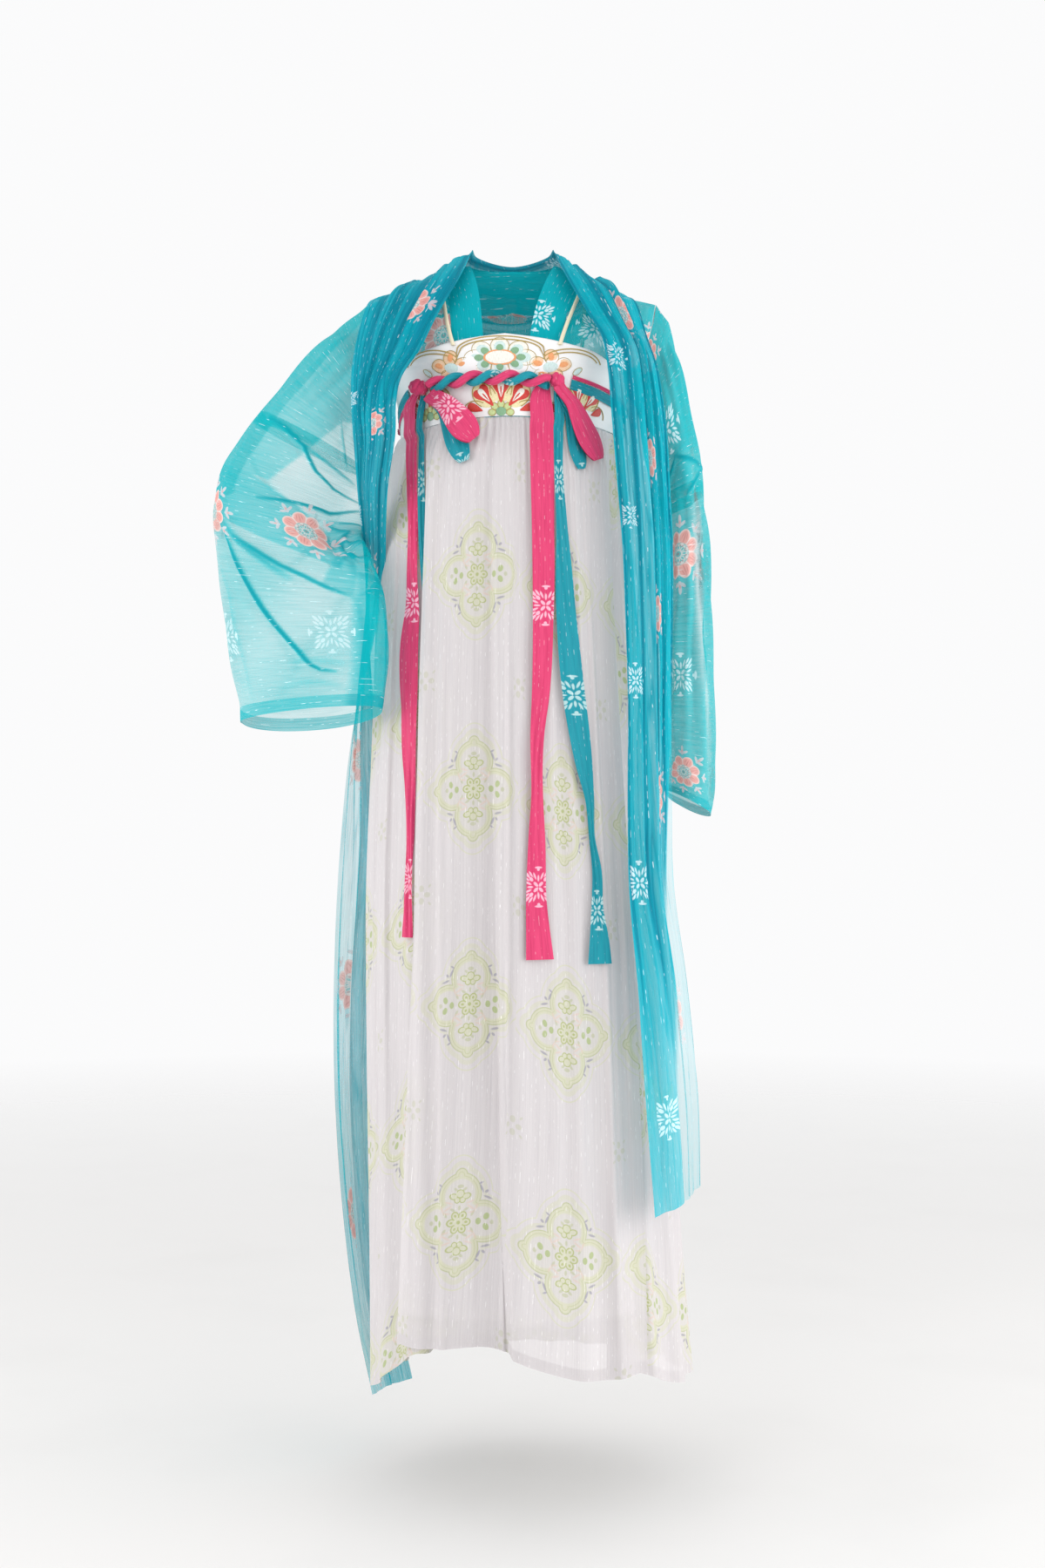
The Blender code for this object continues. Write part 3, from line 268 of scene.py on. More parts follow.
class Wire:
    # a shader socket that Python expressions work on
    def __init__(self, tree, socket=None):
        self.tree, self.socket = tree, socket

    def node(self, kind, settings=None, sockets=None, out=0):
        made = self.tree.nodes.new(kind)
        for name, value in (settings or {}).items():
            setattr(made, name, value)
        for name, value in (sockets or {}).items():
            if isinstance(value, Wire):
                self.tree.links.new(value.socket, made.inputs[name])
            else:
                made.inputs[name].default_value = value
        return Wire(self.tree, made.outputs[out])

    def maths(self, operation, *others, clamp=False):
        settings = {"operation": operation, "use_clamp": clamp}
        return self.node("ShaderNodeMath", settings, dict(enumerate((self,) + others)))

    def __add__(self, other):
        return self.maths("ADD", other)

    def __sub__(self, other):
        return self.maths("SUBTRACT", other)

    def __mul__(self, other):
        return self.maths("MULTIPLY", other)

    def __truediv__(self, other):
        return self.maths("DIVIDE", other)

    def __rsub__(self, other):
        return self.node("ShaderNodeMath", {"operation": "SUBTRACT"}, {0: other, 1: self})

    __radd__ = __add__
    __rmul__ = __mul__

    def higher(self, other):
        return self.maths("MAXIMUM", other)

    def lower(self, other):
        return self.maths("MINIMUM", other)

    def clamped(self, scale=1.0, shift=0.0):
        # this times scale plus shift, kept between 0 and 1
        return self.maths("MULTIPLY_ADD", scale, shift, clamp=True)

    def vector(self, operation, *others, out=0):
        return self.node("ShaderNodeVectorMath", {"operation": operation}, dict(enumerate((self,) + others)), out)

    def parts(self):
        split = self.node("ShaderNodeSeparateXYZ", None, {0: self})
        return [Wire(self.tree, split.socket.node.outputs[k]) for k in range(2)]

    def joined(self, other):
        return self.node("ShaderNodeCombineXYZ", None, {0: self, 1: other})

    def colour(self, rgb):
        made = self.node("ShaderNodeRGB")
        made.socket.default_value = (*rgb, 1.0)
        return made

    def blended(self, other, share):
        # this colour, and other where share is 1
        other = other if isinstance(other, Wire) else self.colour(other)
        return self.node("ShaderNodeMix", {"data_type": "RGBA"}, {0: share, 6: self, 7: other}, out=2)


def inCell(place, cell, at, skew=0.0):
    # the place within a repeat of the print, measured from the motif's middle
    x, y = place.parts()
    x = (x - at[0]) / cell[0] + 0.5
    column = x.maths("FLOOR")
    y = (y - at[1]) / cell[1] + 0.5
    if skew:
        y = y + column * skew
    row = y.maths("FLOOR")
    return ((x - column - 0.5) * cell[0]).joined((y - row - 0.5) * cell[1])


def inWedge(place, count):
    # the place folded into one wedge of a flower with count petals
    x, y = place.parts()
    angle = y.maths("ARCTAN2", x).maths("PINGPONG", math.pi / count)
    reach = place.vector("LENGTH", out=1)
    return (reach * angle.maths("COSINE")).joined(reach * angle.maths("SINE"))


def gap(place, *ovals):
    # roughly how far outside a group of ovals a place is, in metres; inside it is below nothing
    # each oval: the radius and angle of its middle, its length, width and turn, in millimetres and degrees
    found = None
    for radius, angle, long, wide, turn in ovals:
        reach, angle = radius / 1000, math.radians(angle)
        sockets = {"Vector": place, "Location": (reach * math.cos(angle), reach * math.sin(angle), 0),
                   "Rotation": (0, 0, math.radians(turn)), "Scale": (long / 1000, wide / 1000, 1)}
        near = place.node("ShaderNodeMapping", {"vector_type": "TEXTURE"}, sockets).vector("LENGTH", out=1)
        each = near.maths("MULTIPLY_ADD", min(long, wide) / 1000, -min(long, wide) / 1000)
        found = found.lower(each) if found else each
    return found


def within(gap, grow=0.0, edge=0.6):
    # 1 inside, grown by some millimetres, with an edge that many wide
    return gap.clamped(-1000 / edge, grow / edge + 0.5)


def rim(gap, deep, start=0.0, edge=0.6):
    # a line along the edge, from start to deep millimetres inside it
    return within(gap, -start) - within(gap, -deep, edge)


def petals(place, *ovals):
    return within(gap(place, *ovals))


coralPrint = {"coral": (0.62, 0.17, 0.14), "rim": (0.84, 0.5, 0.45), "blush": (0.7, 0.54, 0.56),
              "leaf": (0.16, 0.42, 0.42), "pale": (0.66, 0.6, 0.58), "frost": (0.76, 0.85, 0.88),
              "wine": (0.3, 0.05, 0.06)}
frostFlower = ((4.6, 45, 3.4, 1.8, 45), (10.2, 0, 3.6, 1.2, 0), (13.6, 20, 4.2, 1.2, 24), (12.8, 45, 3, 2, 45),
               (20.5, 45, 5, 1.6, 45), (17.8, 33, 4, 1.2, 36), (22.6, 0, 1.3, 4.6, 0), (20.5, 0, 1.8, 1.8, 0))


def flowerPrint(colour, place, at, cell, half):
    # coral roses with eight lobes, each lobe with a leafy sprig, and frost flowers half a repeat away
    rose = inWedge(inCell(place, cell, at), 8)
    lobe = gap(rose, (18.6, 22.5, 9, 8.4, 22.5))
    outer, inner = within(lobe), within(lobe, -1.8)
    fold = petals(rose, (18.2, 22.5, 5.6, 0.6, 22.5), (20.5, 14, 3, 0.5, 30))
    heart = petals(rose, (0, 0, 12.6, 12.6, 0))
    bud = gap(rose, (0, 0, 4.4, 4.4, 0), (7, 0, 4, 2.2, 0))
    ring = petals(rose, (10.8, 22.5, 1.8, 2.2, 22.5), (19, 0, 5.2, 0.7, 0)).higher(rim(bud, 1.1))
    dots = petals(rose, (9.2, 14, 1.2, 0.9, 20), (0, 0, 1.6, 1.6, 0))
    sprig = petals(rose, (37.8, 0, 4.8, 2.1, 0), (33.2, 7, 4.2, 1.9, 62), (32.2, 0, 3.4, 2.4, 0))
    sprigHeart = petals(rose, (34.5, 0, 1.9, 1.2, 0))
    flake = petals(inWedge(inCell(place, cell, (at[0] + half[0], at[1] + half[1])), 4), *frostFlower)
    for name, share in (("blush", sprig * 0.62), ("coral", sprigHeart * 0.5), ("rim", outer * 0.78),
                        ("coral", inner * 0.5), ("wine", fold * 0.42), ("leaf", heart * 0.72),
                        ("pale", ring * 0.7), ("wine", dots * 0.45), ("frost", flake * 0.6)):
        colour = colour.blended(coralPrint[name], share)
    return colour, outer.higher(sprig).higher(heart).higher(flake)


medallionPrint = {"cell": (0.1465, 0.2563), "skew": -0.045, "small": 0.9, "green": (0.33, 0.37, 0.13),
                  "pale": (0.51, 0.53, 0.29), "leaf": (0.31, 0.39, 0.13), "lilac": (0.22, 0.21, 0.31),
                  "blush": (0.6, 0.46, 0.4)}


def medallion(colour, place, at):
    # four pointed arches round a six-petalled flower, with leaves, curls and a faint outer line
    look = medallionPrint
    cell, skew = look["cell"], look["skew"]
    local = inCell(place, cell, at, skew).vector("MULTIPLY", (look["small"], look["small"], 1))
    folded, six = local.vector("ABSOLUTE"), inWedge(local, 6)
    arch = gap(folded, (29, 90, 22.5, 23.5, 0), (25.5, 0, 22.5, 22.5, 0), (49.2, 90, 7, 8, 0),
               (45.2, 0, 8, 6.2, 0), (0, 0, 30, 30, 0))
    outline = rim(arch, 1).higher(rim(arch, 4, 3.4) * 0.7)
    band = rim(arch, 6.6, 1, 1.6)
    halo = rim(arch, -11, -12.2).higher(rim(arch, -2.2, -6.6) * 0.7)
    flower = gap(six, (7.8, 0, 5, 4.3, 0), (0, 0, 6.2, 6.2, 0))
    buds = gap(folded, (30, 90, 4.8, 4.6, 0), (28.2, 76, 5, 3.4, 18), (23.6, 83, 3.4, 3.4, 0))
    leaves = petals(folded, (29.2, 11, 3.8, 2.9, 65), (20.5, 0, 2.8, 3.6, 0))
    seeds = petals(six, (8, 0, 1.6, 1.2, 0), (0, 0, 2, 2, 0))
    sprays = petals(folded, (37.8, 90, 3.4, 2, 0), (35, 82, 2.6, 1.4, 40), (34.5, 0, 2, 2.4, 0),
                    (15.2, 62, 3.2, 1.3, 30), (16.8, 32, 3.2, 1.3, 64), (15.2, 90, 1.4, 2.6, 0))
    curls = petals(folded, (41.2, 57, 4.6, 1.2, -66), (39, 41, 4.6, 1.2, -16), (42.2, 49, 2.2, 1.4, 40),
                   (46, 62, 2.6, 1, 30))
    cloud = petals(folded, (19.5, 52, 5, 1, -34), (23, 40, 4.2, 1, 66), (24, 62, 4.2, 1, 20), (16.5, 38, 3.4, 0.9, 10))
    between = (at[0] + cell[0] / 2, at[1] + cell[1] * (0.5 - skew / 2))
    bloom = petals(inWedge(inCell(place, cell, between, skew), 4), (7.5, 0, 4, 3.2, 0), (15, 45, 2.6, 1.4, 45))
    for name, share in (("pale", within(arch, 2) * 0.12), ("pale", halo.higher(band) * 0.46),
                        ("pale", within(flower).higher(within(buds)) * 0.42), ("green", outline * 0.66),
                        ("green", rim(flower, 1.2).higher(rim(buds, 1)).higher(seeds) * 0.8),
                        ("leaf", leaves * 0.74), ("green", sprays * 0.42), ("blush", cloud * 0.6),
                        ("lilac", curls * 0.62), ("green", bloom * 0.26)):
        colour = colour.blended(look[name], share)
    return colour, outline


def noise(place, scale, detail=1.0, **more):
    sockets = {"Vector": place, "Scale": scale, "Detail": detail, **more}
    return place.node("ShaderNodeTexNoise", {"noise_dimensions": "2D"}, sockets)


def crinkle(place, fine, long, detail=1.0):
    # threads drawn up lengthwise: uneven ridges along the cloth
    return noise(place.vector("MULTIPLY", (fine, long, 1.0)), 1.0, detail, Roughness=0.55)


def tinsel(place, pitch=0.0062, dash=0.01):
    # bright metallic threads along the warp, seen here and there
    x, y = place.parts()
    column = (x / pitch).maths("FLOOR")
    thread = ((x / pitch - column) - 0.5).maths("ABSOLUTE").clamped(-1 / 0.03, 1.5)
    return thread * noise((column * 0.731).joined(y / dash + column * 3.7), 1.0).clamped(8.0, -4.7)


def startMaterial(name):
    made = bpy.data.materials.new(name)
    made.use_nodes = True
    made.node_tree.nodes.clear()
    return made, Wire(made.node_tree)


def startCloth(name):
    # a new material, its wires and the place on the cloth, in metres
    made, wire = startMaterial(name)
    return made, wire, wire.node("ShaderNodeUVMap", {"uv_map": "cloth"})


def surfaced(made, shader):
    output = made.node_tree.nodes.new("ShaderNodeOutputMaterial")
    made.node_tree.links.new(shader.socket, output.inputs["Surface"])
    return made


def finishMaterial(made, wire, sockets, height, distance, strength):
    bump = wire.node("ShaderNodeBump", None, {"Height": height, "Distance": distance, "Strength": strength})
    return surfaced(made, wire.node("ShaderNodeBsdfPrincipled", None, {**sockets, "Normal": bump}))


def finishSheer(made, wire, look, colour, clear, layers, threads, gleam):
    # cloth that is seen through: clear is what one layer lets by, and gleam shows the tinsel threads; the cloth also
    # glows faintly in its own colour, a painted light that lifts its shade
    colour = colour.blended(look["tinsel"], gleam)
    alpha = (1 - clear.maths("POWER", layers)).higher(gleam * 0.9)
    sockets = {"Base Color": colour, "Alpha": alpha, "Roughness": look["rough"] - gleam * look["shine"],
               "Metallic": gleam * look["metal"], "Emission Color": colour, "Emission Strength": look["through"],
               "Specular IOR Level": look["gloss"]}
    return finishMaterial(made, wire, sockets, threads, 0.0006, look["bump"])


# each look's glow strength makes the cloth shine faintly in its own colour: painted light that lifts the shade in its
# folds and behind other cloth
tealLook = {"thin": (0, 0.455, 0.53), "dense": (0, 0.325, 0.405), "deep": (0, 0.19, 0.27), "alpha": 0.36,
            "through": 0.17, "tinsel": (0.8, 0.93, 0.96), "rough": 0.7, "shine": 0.4, "metal": 0.6,
            "gloss": 0.1, "bump": 0.55}
whiteLook = {"cloth": (0.57, 0.541, 0.547), "shade": (0.47, 0.444, 0.459), "alpha": 0.9, "through": 0.17,
             "tinsel": (0.98, 0.98, 0.98), "rough": 0.66, "shine": 0.36, "metal": 0.5, "gloss": 0.2, "bump": 0.6}
pinkLook = {"cloth": (0.68, 0.045, 0.155), "shade": (0.48, 0.02, 0.095), "flower": (0.9, 0.52, 0.64)}
tealTieLook = {"cloth": (0, 0.275, 0.345), "shade": (0, 0.18, 0.25), "flower": (0.5, 0.7, 0.7)}


def tealChiffon(name, at, cell, half, gleaming=0.6, blue=1.0, deepest=1.0):
    made, wire, place = startCloth(name)
    look = tealLook
    thin, middling, deep = (wire.colour(look[key] * np.array((1, 1, blue))) for key in ("thin", "dense", "deep"))
    layers = wire.node("ShaderNodeAttribute", {"attribute_name": "layers"}, out=2)
    threads = crinkle(place, 620.0, 22.0)
    ridges = threads.clamped(1.6, -0.62)
    # the tone goes from thin to dense to deep as layers pile up: partly cloth lying many times over itself, partly
    # painted shade in folds and creases; deepest sets how much of the deep tone is used
    colour = thin.blended(middling, layers.clamped(0.22, -0.3))
    colour = colour.blended(deep, layers.clamped(0.22, -1.45) * deepest).blended(middling, ridges * 0.5)
    colour, ink = flowerPrint(colour, place, at, cell, half)
    clear = (1 - look["alpha"] + 0.06 - ridges * 0.2) * (1 - ink * 0.45)
    return finishSheer(made, wire, look, colour, clear, layers, threads, tinsel(place) * gleaming)


def whiteChiffon(name, at):
    made, wire, place = startCloth(name)
    look = whiteLook
    layers = wire.node("ShaderNodeAttribute", {"attribute_name": "layers"}, out=2)
    threads = crinkle(place, 480.0, 9.0)
    colour = wire.colour(look["cloth"]).blended(look["shade"], threads.clamped(2.4, -0.95) * 0.5)
    colour, ink = medallion(colour, place, at)
    clear = (1 - look["alpha"] - threads.clamped(0.9, -0.36) * 0.06) * (1 - ink * 0.3)
    return finishSheer(made, wire, look, colour, clear, layers, threads, tinsel(place, 0.006, 0.009) * 0.65)


def plainCloth(name, colour, shade, fine=900.0, long=900.0, roughness=0.7, bump=0.25, sheen=0.1, gloss=0.3):
    # a close plain weave
    made, wire, place = startCloth(name)
    weave, worn = crinkle(place, fine, long), crinkle(place, 14.0, 9.0, 2.0)
    darker = (weave.clamped(2.2, -0.9) * 0.4).higher(worn.clamped(1.5, -0.6) * 0.5)
    sockets = {"Base Color": wire.colour(colour).blended(shade, darker), "Roughness": roughness + worn * 0.08,
               "Sheen Weight": sheen, "Sheen Roughness": 0.4, "Specular IOR Level": gloss}
    return finishMaterial(made, wire, sockets, weave, 0.0003, bump)


def tieCloth(name, look, at, cell):
    # crinkled ribbon with small pale flowers printed on it
    made, wire, place = startCloth(name)
    threads = crinkle(place, 700.0, 26.0)
    gleam = tinsel(place, 0.0056, 0.006) * 0.55
    tone = wire.colour(look["cloth"]).blended(look["shade"], threads.clamped(2.4, -0.95) * 0.55)
    tone = tone.blended(look["flower"], petals(inWedge(inCell(place, cell, at), 4), *frostFlower) * 0.8)
    tone = tone.blended((0.95, 0.95, 0.95), gleam * 0.8)
    sockets = {"Base Color": tone, "Roughness": 0.62 - gleam * 0.3, "Metallic": gleam * 0.5,
               "Sheen Weight": 0.25, "Sheen Roughness": 0.4, "Specular IOR Level": 0.3}
    return finishMaterial(made, wire, sockets, threads, 0.0006, 0.6)


def lengthsAlong(grid, axis):
    steps = np.linalg.norm(np.diff(grid, axis=axis), axis=-1)
    start = np.zeros_like(np.take(steps, [0], axis=axis))
    return np.concatenate([start, np.cumsum(steps, axis=axis)], axis=axis)


def ringed(grid, closed=True):
    # the grid of a tube, with its first column again at the end
    return np.concatenate([grid, grid[:, :1]], axis=1) if closed else grid


def acrossCloth(grid):
    return np.broadcast_to(lengthsAlong(grid, 1).mean(axis=0), grid.shape[:2])


def downCloth(grid):
    return np.broadcast_to(lengthsAlong(grid, 0).mean(axis=1)[:, None], grid.shape[:2])


def makeMesh(name, points, faces, places, material):
    # a mesh with a map of its cloth in metres, a place for each point or for each corner
    mesh = bpy.data.meshes.new(name)
    mesh.from_pydata(points, [], faces)
    mesh.shade_smooth()
    if len(places) == len(points):
        corners = np.zeros(len(mesh.loops), dtype=np.int64)
        mesh.loops.foreach_get("vertex_index", corners)
        places = places[corners]
    mesh.uv_layers.new(name="cloth").data.foreach_set("uv", places.reshape(-1).astype(np.float32))
    mesh.materials.append(material)
    made = bpy.data.objects.new(name, mesh)
    scene.collection.objects.link(made)
    return made


def rides(piece, slot, *nodes):
    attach(piece, "root")
    if nodes:
        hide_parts(*nodes)
    return piece


def makeSheet(name, grid, material, slot, nodes=(), u=None, v=None, layers=None, closed=False):
    # an open sheet or a tube through a grid of points, with how many layers of cloth lie at each
    rows, columns = grid.shape[:2]
    wide = ringed(grid, closed)
    uv = np.stack([acrossCloth(wide) if u is None else u, downCloth(wide) if v is None else v], axis=-1)
    j, i = np.meshgrid(np.arange(rows - 1), np.arange(wide.shape[1] - 1), indexing="ij")
    k = (i + 1) % columns
    faces = np.stack([j * columns + i, j * columns + k, (j + 1) * columns + k, (j + 1) * columns + i], axis=-1)
    corners = np.stack([uv[j, i], uv[j, i + 1], uv[j + 1, i + 1], uv[j + 1, i]], axis=2).reshape(-1, 2)
    made = makeMesh(name, grid.reshape(-1, 3).tolist(), faces.reshape(-1, 4).tolist(), corners, material)
    count = np.ones((rows, columns)) if layers is None else layers + np.zeros((rows, columns))
    attribute = made.data.attributes.new("layers", "FLOAT", "POINT")
    attribute.data.foreach_set("value", count.reshape(-1).astype(np.float32))
    return rides(made, slot, *nodes)


def clothSize(grid, closed=False):
    # the flat cut of what shows: its width across and its length
    wide = ringed(grid, closed)
    return (round(float(lengthsAlong(wide, 1)[:, -1].mean()), 3), round(float(lengthsAlong(wide, 0)[-1].mean()), 3))


def ribbon(name, grid, colour, restsOn, startV=0.0):
    # an open ribbon of the ties, which can be narrower than the least width that a sheet may have
    piece = makeSheet(name + "_cloth", grid, *tieFinish[colour], [name], v=downCloth(grid) + startV)


def shoulderZ(x):
    return read(shoulderLine, "z", np.abs(x))


def figureDepth(x, z, side, widthShare=None):
    if widthShare is None:
        widthShare = np.minimum(np.abs(x) / read(figureTable, "halfWidth", z), 1.0)
    below = np.clip((shoulderZ(x) - z) / shoulderRound, 0.0, 1.0)
    return read(figureTable, side, z) * np.sqrt(1 - widthShare**2) * np.sqrt(1 - (1 - below) ** 2)


def figurePoint(x, z, side, depth=None):
    depth = figureDepth(x, z, side) if depth is None else depth
    return np.stack([x + 0 * depth, -depth if side == "front" else depth, z + 0 * depth], axis=-1)


def rowZ(x, down):
    return mix(shoulderZ(x), shirtHemZ, down)


def bodyPoint(innerX, share, down, side):
    # the shirt's body, a share of the way from its inner edge to the armhole
    x = innerX + 0.05
    for _ in range(14):
        z = rowZ(x, down)
        half = read(figureTable, "halfWidth", z)
        start = np.arcsin(np.minimum(innerX / half, 1.0))
        edge = np.where(z <= underarmZ, 0.99998, np.minimum(read(armholeEdge, "x", z) / half, 0.99998))
        angle = mix(start, np.arcsin(edge) * 0.9995, share)
        x = half * np.sin(angle)
    z = rowZ(x, down)
    return figurePoint(x, z, side, figureDepth(x, z, side, np.sin(angle)))


def collarInnerX(down, way):
    return read(collarEdge, "x", mix(0.027, shirtHemZ, down)) - way * collarLean * ease(down / 0.25)


def bodyRows(over, under):
    # shares of the way down the shirt, close together where it turns over the shoulder
    rounding = shoulderRound / -shirtHemZ
    first = rounding * (1 - np.cos(np.radians(np.linspace(0.3, 90, over))))
    return np.concatenate([first, mix(rounding, 1.0, np.linspace(0, 1, under + 1)[1:] ** 1.15)])[:, None]


def neckDrop(x):
    return 0.058 * np.sqrt(np.maximum(1 - (x / (neckHalfWidth + collarWidth)) ** 2, 0.0))


def skirtTop(angle):
    return bandBottomZ - 0.013 * np.sin(np.radians(angle)) ** 2


def foldHeight(angle, z):
    fall = np.clip((skirtTop(angle) - z) / (bandBottomZ - hemZ), 0.0, 1.0)
    grown = 0.1 * ease(fall / 0.05) + 0.9 * fall**0.8
    height = np.zeros_like(angle * z)
    for top, hem, half, high in mainFolds:
        height = height + high * bell((angle - mix(top, hem, fall**0.8)) / half)
    past = angle - mix(-9.0, -1.0, fall**1.5)  # the deep fold in the middle
    height = height + np.where(past > 0, 0.03 * ease(past / 3.0) * bell(past / 21.0), 0.0)
    share = (angle % 360.0 - 112.0) / 150.0  # eleven even folds behind
    even = 0.5 - 0.5 * np.cos(2 * math.pi * 11 * share)
    behind = 0.013 * even * (0.8 + 0.2 * np.sin(3.1 * share * math.pi + 0.7))
    return (height + np.where((share > 0) & (share < 1), behind, 0.0)) * grown


def skirtPoint(angle, z, lift=0.0, folded=1.0):
    turn = np.radians(angle)
    sine, cosine = np.sin(turn), np.cos(turn)
    half = np.where(sine < 0, read(skirtOutline, "left", z), read(skirtOutline, "right", z))
    depth = np.where(cosine > 0, read(skirtOutline, "front", z), read(skirtOutline, "back", z))
    out = unit(np.stack([sine / half, -cosine / depth], axis=-1))
    reach = lift + folded * foldHeight(angle, z)
    return np.stack([half * sine + out[..., 0] * reach, -depth * cosine + out[..., 1] * reach, z + 0 * angle], axis=-1)


def frontLift(z):
    # how far the front panel stands off the back one, which it covers
    return 0.0125 * ease((bandBottomZ - z) / 0.07)


def angleAt(x, z, lift):
    low, high = np.full(np.shape(x * z), -88.0), np.full(np.shape(x * z), 88.0)
    for _ in range(26):
        middle = (low + high) / 2
        less = skirtPoint(middle, z, lift)[..., 0] < x
        low, high = np.where(less, middle, low), np.where(less, high, middle)
    return (low + high) / 2


def frontEdge(side, z):
    return angleAt(read(panelEdges, side, z), z, frontLift(z))


# the skirt: uneven soft folds between the main ones, and gathers under the band
skirtLook = {"gatherPitch": 0.0075, "gatherHeight": 0.0011, "softHeight": 0.003, "hemWidth": 0.013, "hemLayers": 1.4,
             "overLegs": 0.72, "lining": (0.88, 0.87, 0.88), "liningShade": (0.82, 0.81, 0.83)}


def softFolds(angle, z, seed, count, first, last):
    order = np.random.default_rng(seed)
    fall = np.clip((skirtTop(angle) - z) / (bandBottomZ - hemZ), 0.0, 1.0)
    height = np.zeros_like(angle * z)
    for k in range(count):
        middle = mix(first, last, (k + order.uniform(0.2, 0.8)) / count)
        drift = order.uniform(-3.0, 3.0)
        half = order.uniform(1.2, 3.2)
        high = skirtLook["softHeight"] * order.uniform(0.35, 1.25)
        start, end = order.uniform(-0.3, 0.45), order.uniform(0.55, 1.6)
        strength = ease((fall - start) / 0.25) * ease((end - fall) / 0.3)
        wander = 0.8 * np.sin(2.2 * fall + order.uniform(0, 6))
        x = (angle - middle - drift * fall - wander) / half
        height = height + high * strength * (bell(x) - 0.5 * bell(x - 1.6))
    gather = np.sin(angle * 0.0024 / skirtLook["gatherPitch"] * 2 * math.pi + 2.5 * np.sin(angle * 0.21))
    fade = np.exp(-fall / 0.035) + 0.25 * np.exp(-fall / 0.16)
    return height + skirtLook["gatherHeight"] * gather * fade * ease(fall / 0.004)


def skirtPanel(side, rows, columns, top=0.0, lift=0.0):
    # a panel from its top, or from a share of the way down, to its hem
    down, across = shares(rows, columns)
    down = mix(top, 1.0, down)
    level = mix(bandBottomZ, -1.295, down[:, :1])
    left, right = frontEdge("left", level), frontEdge("right", level)
    if side == "front":
        angle, hem = mix(left, right, across), frontHem
    else:
        under = 15.0 * ease((bandBottomZ - level - 0.03) / 0.16)
        angle, hem = mix(right + 0.6 - under, 360 + left - 0.6 + under, across), backHem
    z = mix(skirtTop(angle) - seam, read(hem, "z", angle), down)
    if side == "front":
        lift = frontLift(z) + lift
        folds = softFolds(angle, z, 4, 16, -52.0, 52.0) * bothEnds(across, 0.03)
    else:
        clear = 1 - 0.75 * bell((angle % 360 - 66) / 10) * ease((-0.62 - z) / 0.1)
        folds = softFolds(angle, z, 9, 40, 40.0, 320.0) * bothEnds(across, 0.02) * clear * 0.8
    grid = skirtPoint(np.where(angle <= 180, angle, angle - 360), z, lift)
    return grid + outwards(grid, grid * (1, 1, 0)) * folds[..., None]


def hemWise(grid):
    # the cloth is cut straight, so each column keeps the width that it has low down
    return np.broadcast_to(lengthsAlong(grid, 1)[int(0.8 * len(grid))], grid.shape[:2])


panels = {"front": (222, 300, whiteChiffon("white_chiffon_front", (0.0855, 0.1935))),
          "back": (160, 460, whiteChiffon("white_chiffon_back", (0.93, 0.37)))}
for side, (rows, columns, cloth) in panels.items():
    grid = skirtPanel(side, rows, columns)
    below = ease((liningHemZ - grid[..., 2]) / 0.01) if side == "front" else 0.0
    piece = makeSheet("skirt_" + side + "_cloth", grid, cloth, "white_chiffon", ["skirt_" + side + "_panel"],
                      hemWise(grid), downCloth(grid), mix(1.0, skirtLook["overLegs"], below))
    "band_" + side
for side, (rows, columns, cloth) in panels.items():
    strip = skirtPanel(side, 5, columns, 1 - skirtLook["hemWidth"] / 1.11, -0.0007)
    hem = makeSheet("skirt_" + side + "_hem", strip, cloth, "white_chiffon", (), hemWise(strip), downCloth(strip) + 1.1,
                    skirtLook["hemLayers"])
    "skirt_" + side + "_cloth"

# the plain opaque lining, its hem above the skirt's
down, around = (each[:, :-1] for each in shares(60, 145))
angle = -180 + 360 * around
z = mix(skirtTop(angle) - seam, liningHemZ, down)
soft = 0.0012 * np.sin(np.radians(angle) * 17 + 2 * np.sin(np.radians(angle) * 3)) * ease(down / 0.2)
lining = skirtPoint(angle, z, mix(-wall - 0.0006, -0.0055, ease(down / 0.03)) - 0.0008 + soft, 0.0)
liningCloth = plainCloth("lining_cloth", skirtLook["lining"], skirtLook["liningShade"])
piece = makeSheet("skirt_lining_cloth", lining, liningCloth, "white_lining", ["skirt_lining"], closed=True)
print("skirt: front, back, hems and lining")


# the shirt's body, single over the figure and closer folded over the shoulders
shirtLook = {"fold": 0.0022, "layers": 1.7, "atShoulder": 1.6, "cell": (0.145, 0.23), "half": (0.0725, 0), "blue": 0.93,
             "places": {"right": (0.0095, 0.1164), "left": (0.108, 0.1)}}


def shirtPiece(name, grid, cloth, seed, height):
    u, v = acrossCloth(grid), downCloth(grid)
    folds = ripple(u, v, seed, 0.05, along=0.7) * height
    edge = ease(u / 0.015) * ease((u.max() - u) / 0.015) * ease(v / 0.02) * ease((v.max() - v) / 0.01)
    grid = grid + normalsOf(grid) * (folds * edge)[..., None]
    shoulder = ease((grid[..., 2] + 0.17) / 0.06) * ease((np.abs(grid[..., 0]) - 0.09) / 0.03)
    layers = shirtLook["layers"] + shirtLook["atShoulder"] * shoulder
    piece = makeSheet(name + "_cloth", grid, cloth, "teal_chiffon", [name], layers=layers)


